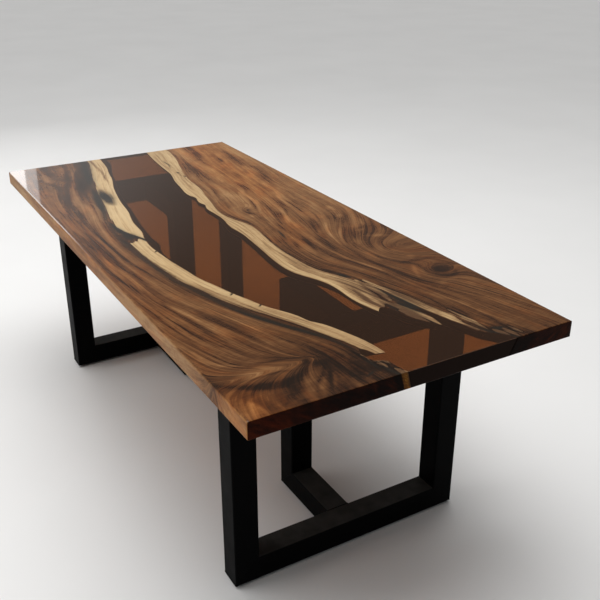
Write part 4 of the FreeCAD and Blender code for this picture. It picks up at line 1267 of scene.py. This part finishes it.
def growth_rings(shader, course, bands, streaks, lines):
    """Each ring darkens towards its end, and stops at a thin dark line."""
    across = shader.split(course)["X"]
    count = shader.weighted([(across, RINGS), (bands, 1.0), (streaks, 0.35), (lines, 0.10)])
    year = shader.math("FRACT", count)
    late = shader.weighted([(shader.span(year, 0.25, 1.0), 0.7),
                            (shader.span(year, 0.82, 0.93), 0.3)])
    clear = shader.noise(shader.stretch(course, CLEARINGS), detail=2)
    return shader.times(late, shader.span(clear, 0.36, 0.6))


def wood_material():
    """Lacquered heartwood with pale sapwood, growth lines, pores and bark-side walls."""
    shader = Shader("live_edge_wood")
    marks = shader.add("Attribute", attribute_name="marks").outputs
    sap_edge, tone, slate = shader.add("SeparateColor", {"Color": marks["Color"]}).outputs
    bark = marks["Alpha"]
    shade = shader.split(shader.attribute("shade", "Vector"))
    # heart_shade and sap_shade carry the wood's tone along the slab, with painted shade towards
    # the near end
    heart_shade, sap_shade, quiet = shade["X"], shade["Y"], shade["Z"]
    facing = shader.facing()
    end, long_side = (shader.math("ABSOLUTE", facing[axis]) for axis in "XY")
    ends = shader.span(end, 0.8, 0.95)
    bare = shader.span(bark, 0.0, 0.5, 1.0, 0.0)
    sides = shader.times(shader.span(long_side, 0.5, 0.95), bare)
    # The side that faces -Y, which the tint below paints lighter as painted light from the window
    # side
    front = shader.times(shader.span(facing["Y"], -0.5, -0.95), bare)
    calm = shader.math("MAXIMUM", quiet, shader.times(sides, 0.6))
    crisp = shader.span(calm, 0.0, 1.0, 1.0, 0.3)

    course = wandering_course(shader)
    bands = shader.strands(course, BANDS, detail=2)
    clouds = shader.times(shader.strands(course, CLOUDS), shader.span(calm, 0.0, 1.0, 0.35, 1.0))
    streaks = shader.times(shader.strands(course, STREAKS), crisp)
    lines = shader.times(shader.strands(course, LINES, roughness=0.7), crisp)
    fibres = shader.strands(course, FIBRES, detail=2)
    ripple = shader.strands(course, RIPPLE, detail=2)
    pore = shader.span(shader.noise(shader.stretch(course, PORES), detail=1), 0.66, 0.76)
    late = shader.times(growth_rings(shader, course, bands, streaks, lines), crisp)

    # The marks are broken up into strands
    loose = shader.weighted([(streaks, 0.10), (lines, 0.09)])
    light = shader.span(shader.weighted([(tone, 1.0), (loose, 1.0)]), 0.02, 1.0)
    dark = shader.span(shader.weighted([(tone, -1.0), (loose, -1.0)]), 0.02, 1.0)
    edge = shader.weighted([(sap_edge, 1.0), (bands, 0.12), (streaks, 0.14), (lines, 0.12)])
    sap = shader.span(edge, -0.05, 0.06, smooth=True)
    rim = shader.span(edge, -0.75, -0.02, smooth=True)
    inner = shader.span(edge, 0.05, 0.55, 1.0, 0.0)
    stain = shader.weighted([(slate, 1.1), (streaks, 0.17), (lines, 0.15)])
    stain = shader.span(stain, 0.06, 0.90)

    # sides and front paint the long sides lighter, and the side facing -Y most: painted light
    # from the window side
    tint = shader.weighted([
        (bands, 0.108), (streaks, 0.092), (lines, 0.078), (fibres, 0.042), (ripple, 0.03),
        (clouds, 0.12), (late, -0.12), (heart_shade, 1.0), (light, 0.20), (dark, -0.25),
        (rim, -0.12), (sides, 0.10), (front, 0.21)], start=0.545)
    hue = shader.ramp(shader.strands(course, HUES, detail=2), HEART_HUES)
    heart = shader.mix(1.0, shader.ramp(tint, HEART_COLOURS), hue, blend="MULTIPLY")
    heart = shader.mix(shader.attribute("warmth", "Fac"), heart,
                       shader.mix(1.0, heart, WARM_HUE, blend="MULTIPLY"))
    sap_level = shader.weighted([
        (streaks, 0.10), (lines, 0.12), (fibres, 0.05), (bands, 0.08), (sap_shade, 1.0),
        (light, 0.2), (dark, -0.28), (ripple, 0.03), (inner, -0.07)], start=0.515)

    colour = shader.mix(sap, heart, shader.ramp(sap_level, SAP_COLOURS))
    colour = shader.mix(stain, colour, STAIN_COLOUR)
    colour = shader.mix(shader.times(pore, 0.35), colour, PORE_COLOUR)
    colour = shader.mix(shader.times(bark, 0.92), colour, shader.ramp(lines, BARK_COLOURS))
    # The ends are darkened: the end grain's own colour, with painted shade of ends turned from
    # the light
    finish = shader.mix(sap, END_HEART_WITH_SHADE, END_SAP)
    colour = shader.mix(ends, colour, finish, blend="MULTIPLY")

    # The top is polished, the sides have a satin finish
    top = shader.span(facing["Z"], 0.3, 0.8, 0.12, 1.0)
    coat = shader.times(top, shader.span(end, 0.02, 0.2, 1.0, 0.1))
    height = shader.weighted([(fibres, 0.05), (pore, -0.5)])
    return shader.finish(
        Base_Color=colour, Roughness=shader.span(lines, -1.0, 1.0, 0.45, 0.55),
        Normal=shader.bump(height, 0.15, 0.0003), Specular_IOR_Level=0.03,
        Coat_Weight=coat, Coat_Roughness=0.045, Coat_IOR=1.5)


def resin_material():
    """Clear brown cast resin: a polished skin, colour in its depth, and dull dark ends."""
    shader = Shader("brown_resin")
    place = shader.object_place()
    haze = shader.span(shader.noise(place, scale=9, detail=3), 0.3, 0.7, 0.02, 0.05)
    ends = shader.span(shader.math("ABSOLUTE", shader.facing()["X"]), 0.5, 0.9)
    colour = shader.mix(shader.span(shader.split(place)["X"], -1.0, 1.0), FAR_RESIN, NEAR_RESIN)
    colour = shader.mix(ends, colour, RESIN_ENDS)
    material = shader.finish(
        Base_Color=colour, Roughness=shader.math("MAXIMUM", haze, shader.times(ends, 0.4)),
        Normal=shader.bump(shader.noise(place, scale=45, detail=2), 0.02, 0.0004),
        IOR=1.5, Specular_IOR_Level=0.02,
        Transmission_Weight=shader.span(ends, 0.0, 1.0, 0.96, 0.0))
    depth = shader.add("VolumeAbsorption", {"Color": RESIN_DEPTH, "Density": RESIN_DENSITY})
    output = shader.tree.nodes["Material Output"]
    shader.tree.links.new(depth.outputs[0], output.inputs["Volume"])
    return material


def steel_material():
    """Black powder coat with a fine leathery surface, and dust with painted sheen on the lower
    ledges.
    """
    shader = Shader("black_powder_coat")
    place = shader.object_place()
    cloud = shader.noise(place, scale=22, detail=4)
    peel = shader.noise(place, scale=900, detail=2, roughness=0.6)
    waves = shader.noise(place, scale=240, detail=2)
    # Upward faces low down are painted paler: partly dust, partly painted sheen of the window's
    # reflection
    ledge_dust_and_sheen = shader.times(shader.span(shader.facing()["Z"], 0.6, 0.95),
                           shader.span(shader.split(place)["Z"], 0.2, 0.5, 0.20, 0.05))
    dust = shader.times(ledge_dust_and_sheen, shader.span(cloud, 0.3, 0.7, 0.6, 1.0))
    colour = shader.mix(dust, shader.ramp(cloud, COAT_COLOURS), DUST_AND_SHEEN_COLOUR)
    normal = shader.bump(peel, 0.30, 0.00025, shader.bump(waves, 0.12, 0.0006))
    return shader.finish(Base_Color=colour, Roughness=shader.span(cloud, 0.3, 0.7, 0.38, 0.48),
                         Specular_IOR_Level=0.017, Normal=normal)


def metal_material(name, dark, light, low, high):
    """Plated or plain metal with fine turning marks and a little tarnish."""
    shader = Shader(name)
    place = shader.object_place()
    tarnish = shader.noise(place, scale=160, detail=4, roughness=0.6)
    turning = shader.noise(shader.stretch(place, TURNING_MARKS), detail=2)
    return shader.finish(Base_Color=shader.ramp(tarnish, [(0.3, dark), (0.7, light)]),
                         Metallic=1.0, Normal=shader.bump(turning, 0.15, 0.00015),
                         Roughness=shader.span(tarnish, 0.3, 0.7, low, high))


def plastic_material():
    """Black moulded plastic with a fine spark-eroded grain."""
    shader = Shader("moulded_plastic")
    place = shader.object_place()
    texture = shader.noise(place, scale=1500, detail=2)
    dust = shader.noise(place, scale=60, detail=3)
    return shader.finish(Base_Color=shader.ramp(dust, PLASTIC_COLOURS),
                         Roughness=shader.span(dust, 0.3, 0.7, 0.5, 0.62),
                         Normal=shader.bump(texture, 0.25, 0.0002))


# The table

def paint(node, material):
    """Gives a CAD node its finished material."""
    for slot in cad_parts[node].material_slots:
        slot.material = material


def finish_piece(piece, material, body, node=None):
    """Gives a new piece its material and body, and hides the CAD node that it stands for."""
    piece.data.materials.append(material)
    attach(piece, body)
    if node:
        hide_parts(node)


scene = bpy.context.scene
scene.view_settings.view_transform = "Standard"
add_camera()
add_lamps()
add_world()
add_floor()

wood = wood_material()
front_grain = Grain(FRONT_GRAIN, FRONT_SAP, FRONT_KNOTS, -1, 1.1, FRONT_FORK)
back_grain = Grain(BACK_GRAIN, BACK_SAP, BACK_KNOTS, 1, 0.8)
for slab_name, slab_grain, slab_marks, slab_shades in (
        ("slab_front", front_grain, FRONT_MARKS, FRONT_SHADES),
        ("slab_back", back_grain, BACK_MARKS, BACK_SHADES)):
    finish_piece(build_slab(slab_name, slab_grain, slab_marks, slab_shades), wood, TABLE,
                 slab_name)

paint("resin_river", resin_material())
steel = steel_material()
zinc = metal_material("zinc_plate", *ZINC)
brass = metal_material("brass", *BRASS)
plastic = plastic_material()
for side in SIDES:
    for part in TUBES:
        paint(f"{side}_{part}", steel)
    finish_piece(build_welds(side), steel, TABLE)
    paint(f"{side}_threaded_inserts", brass)
    for part in PLATED_PARTS:
        paint(f"{side}_{part}", zinc)
    for spot in SPOTS:
        pad, stem = f"{side}_{spot}_foot_pad", f"{side}_{spot}_foot_stem"
        finish_piece(build_pad(side, spot), plastic, pad, pad)
        finish_piece(build_stem(side, spot), zinc, stem, stem)
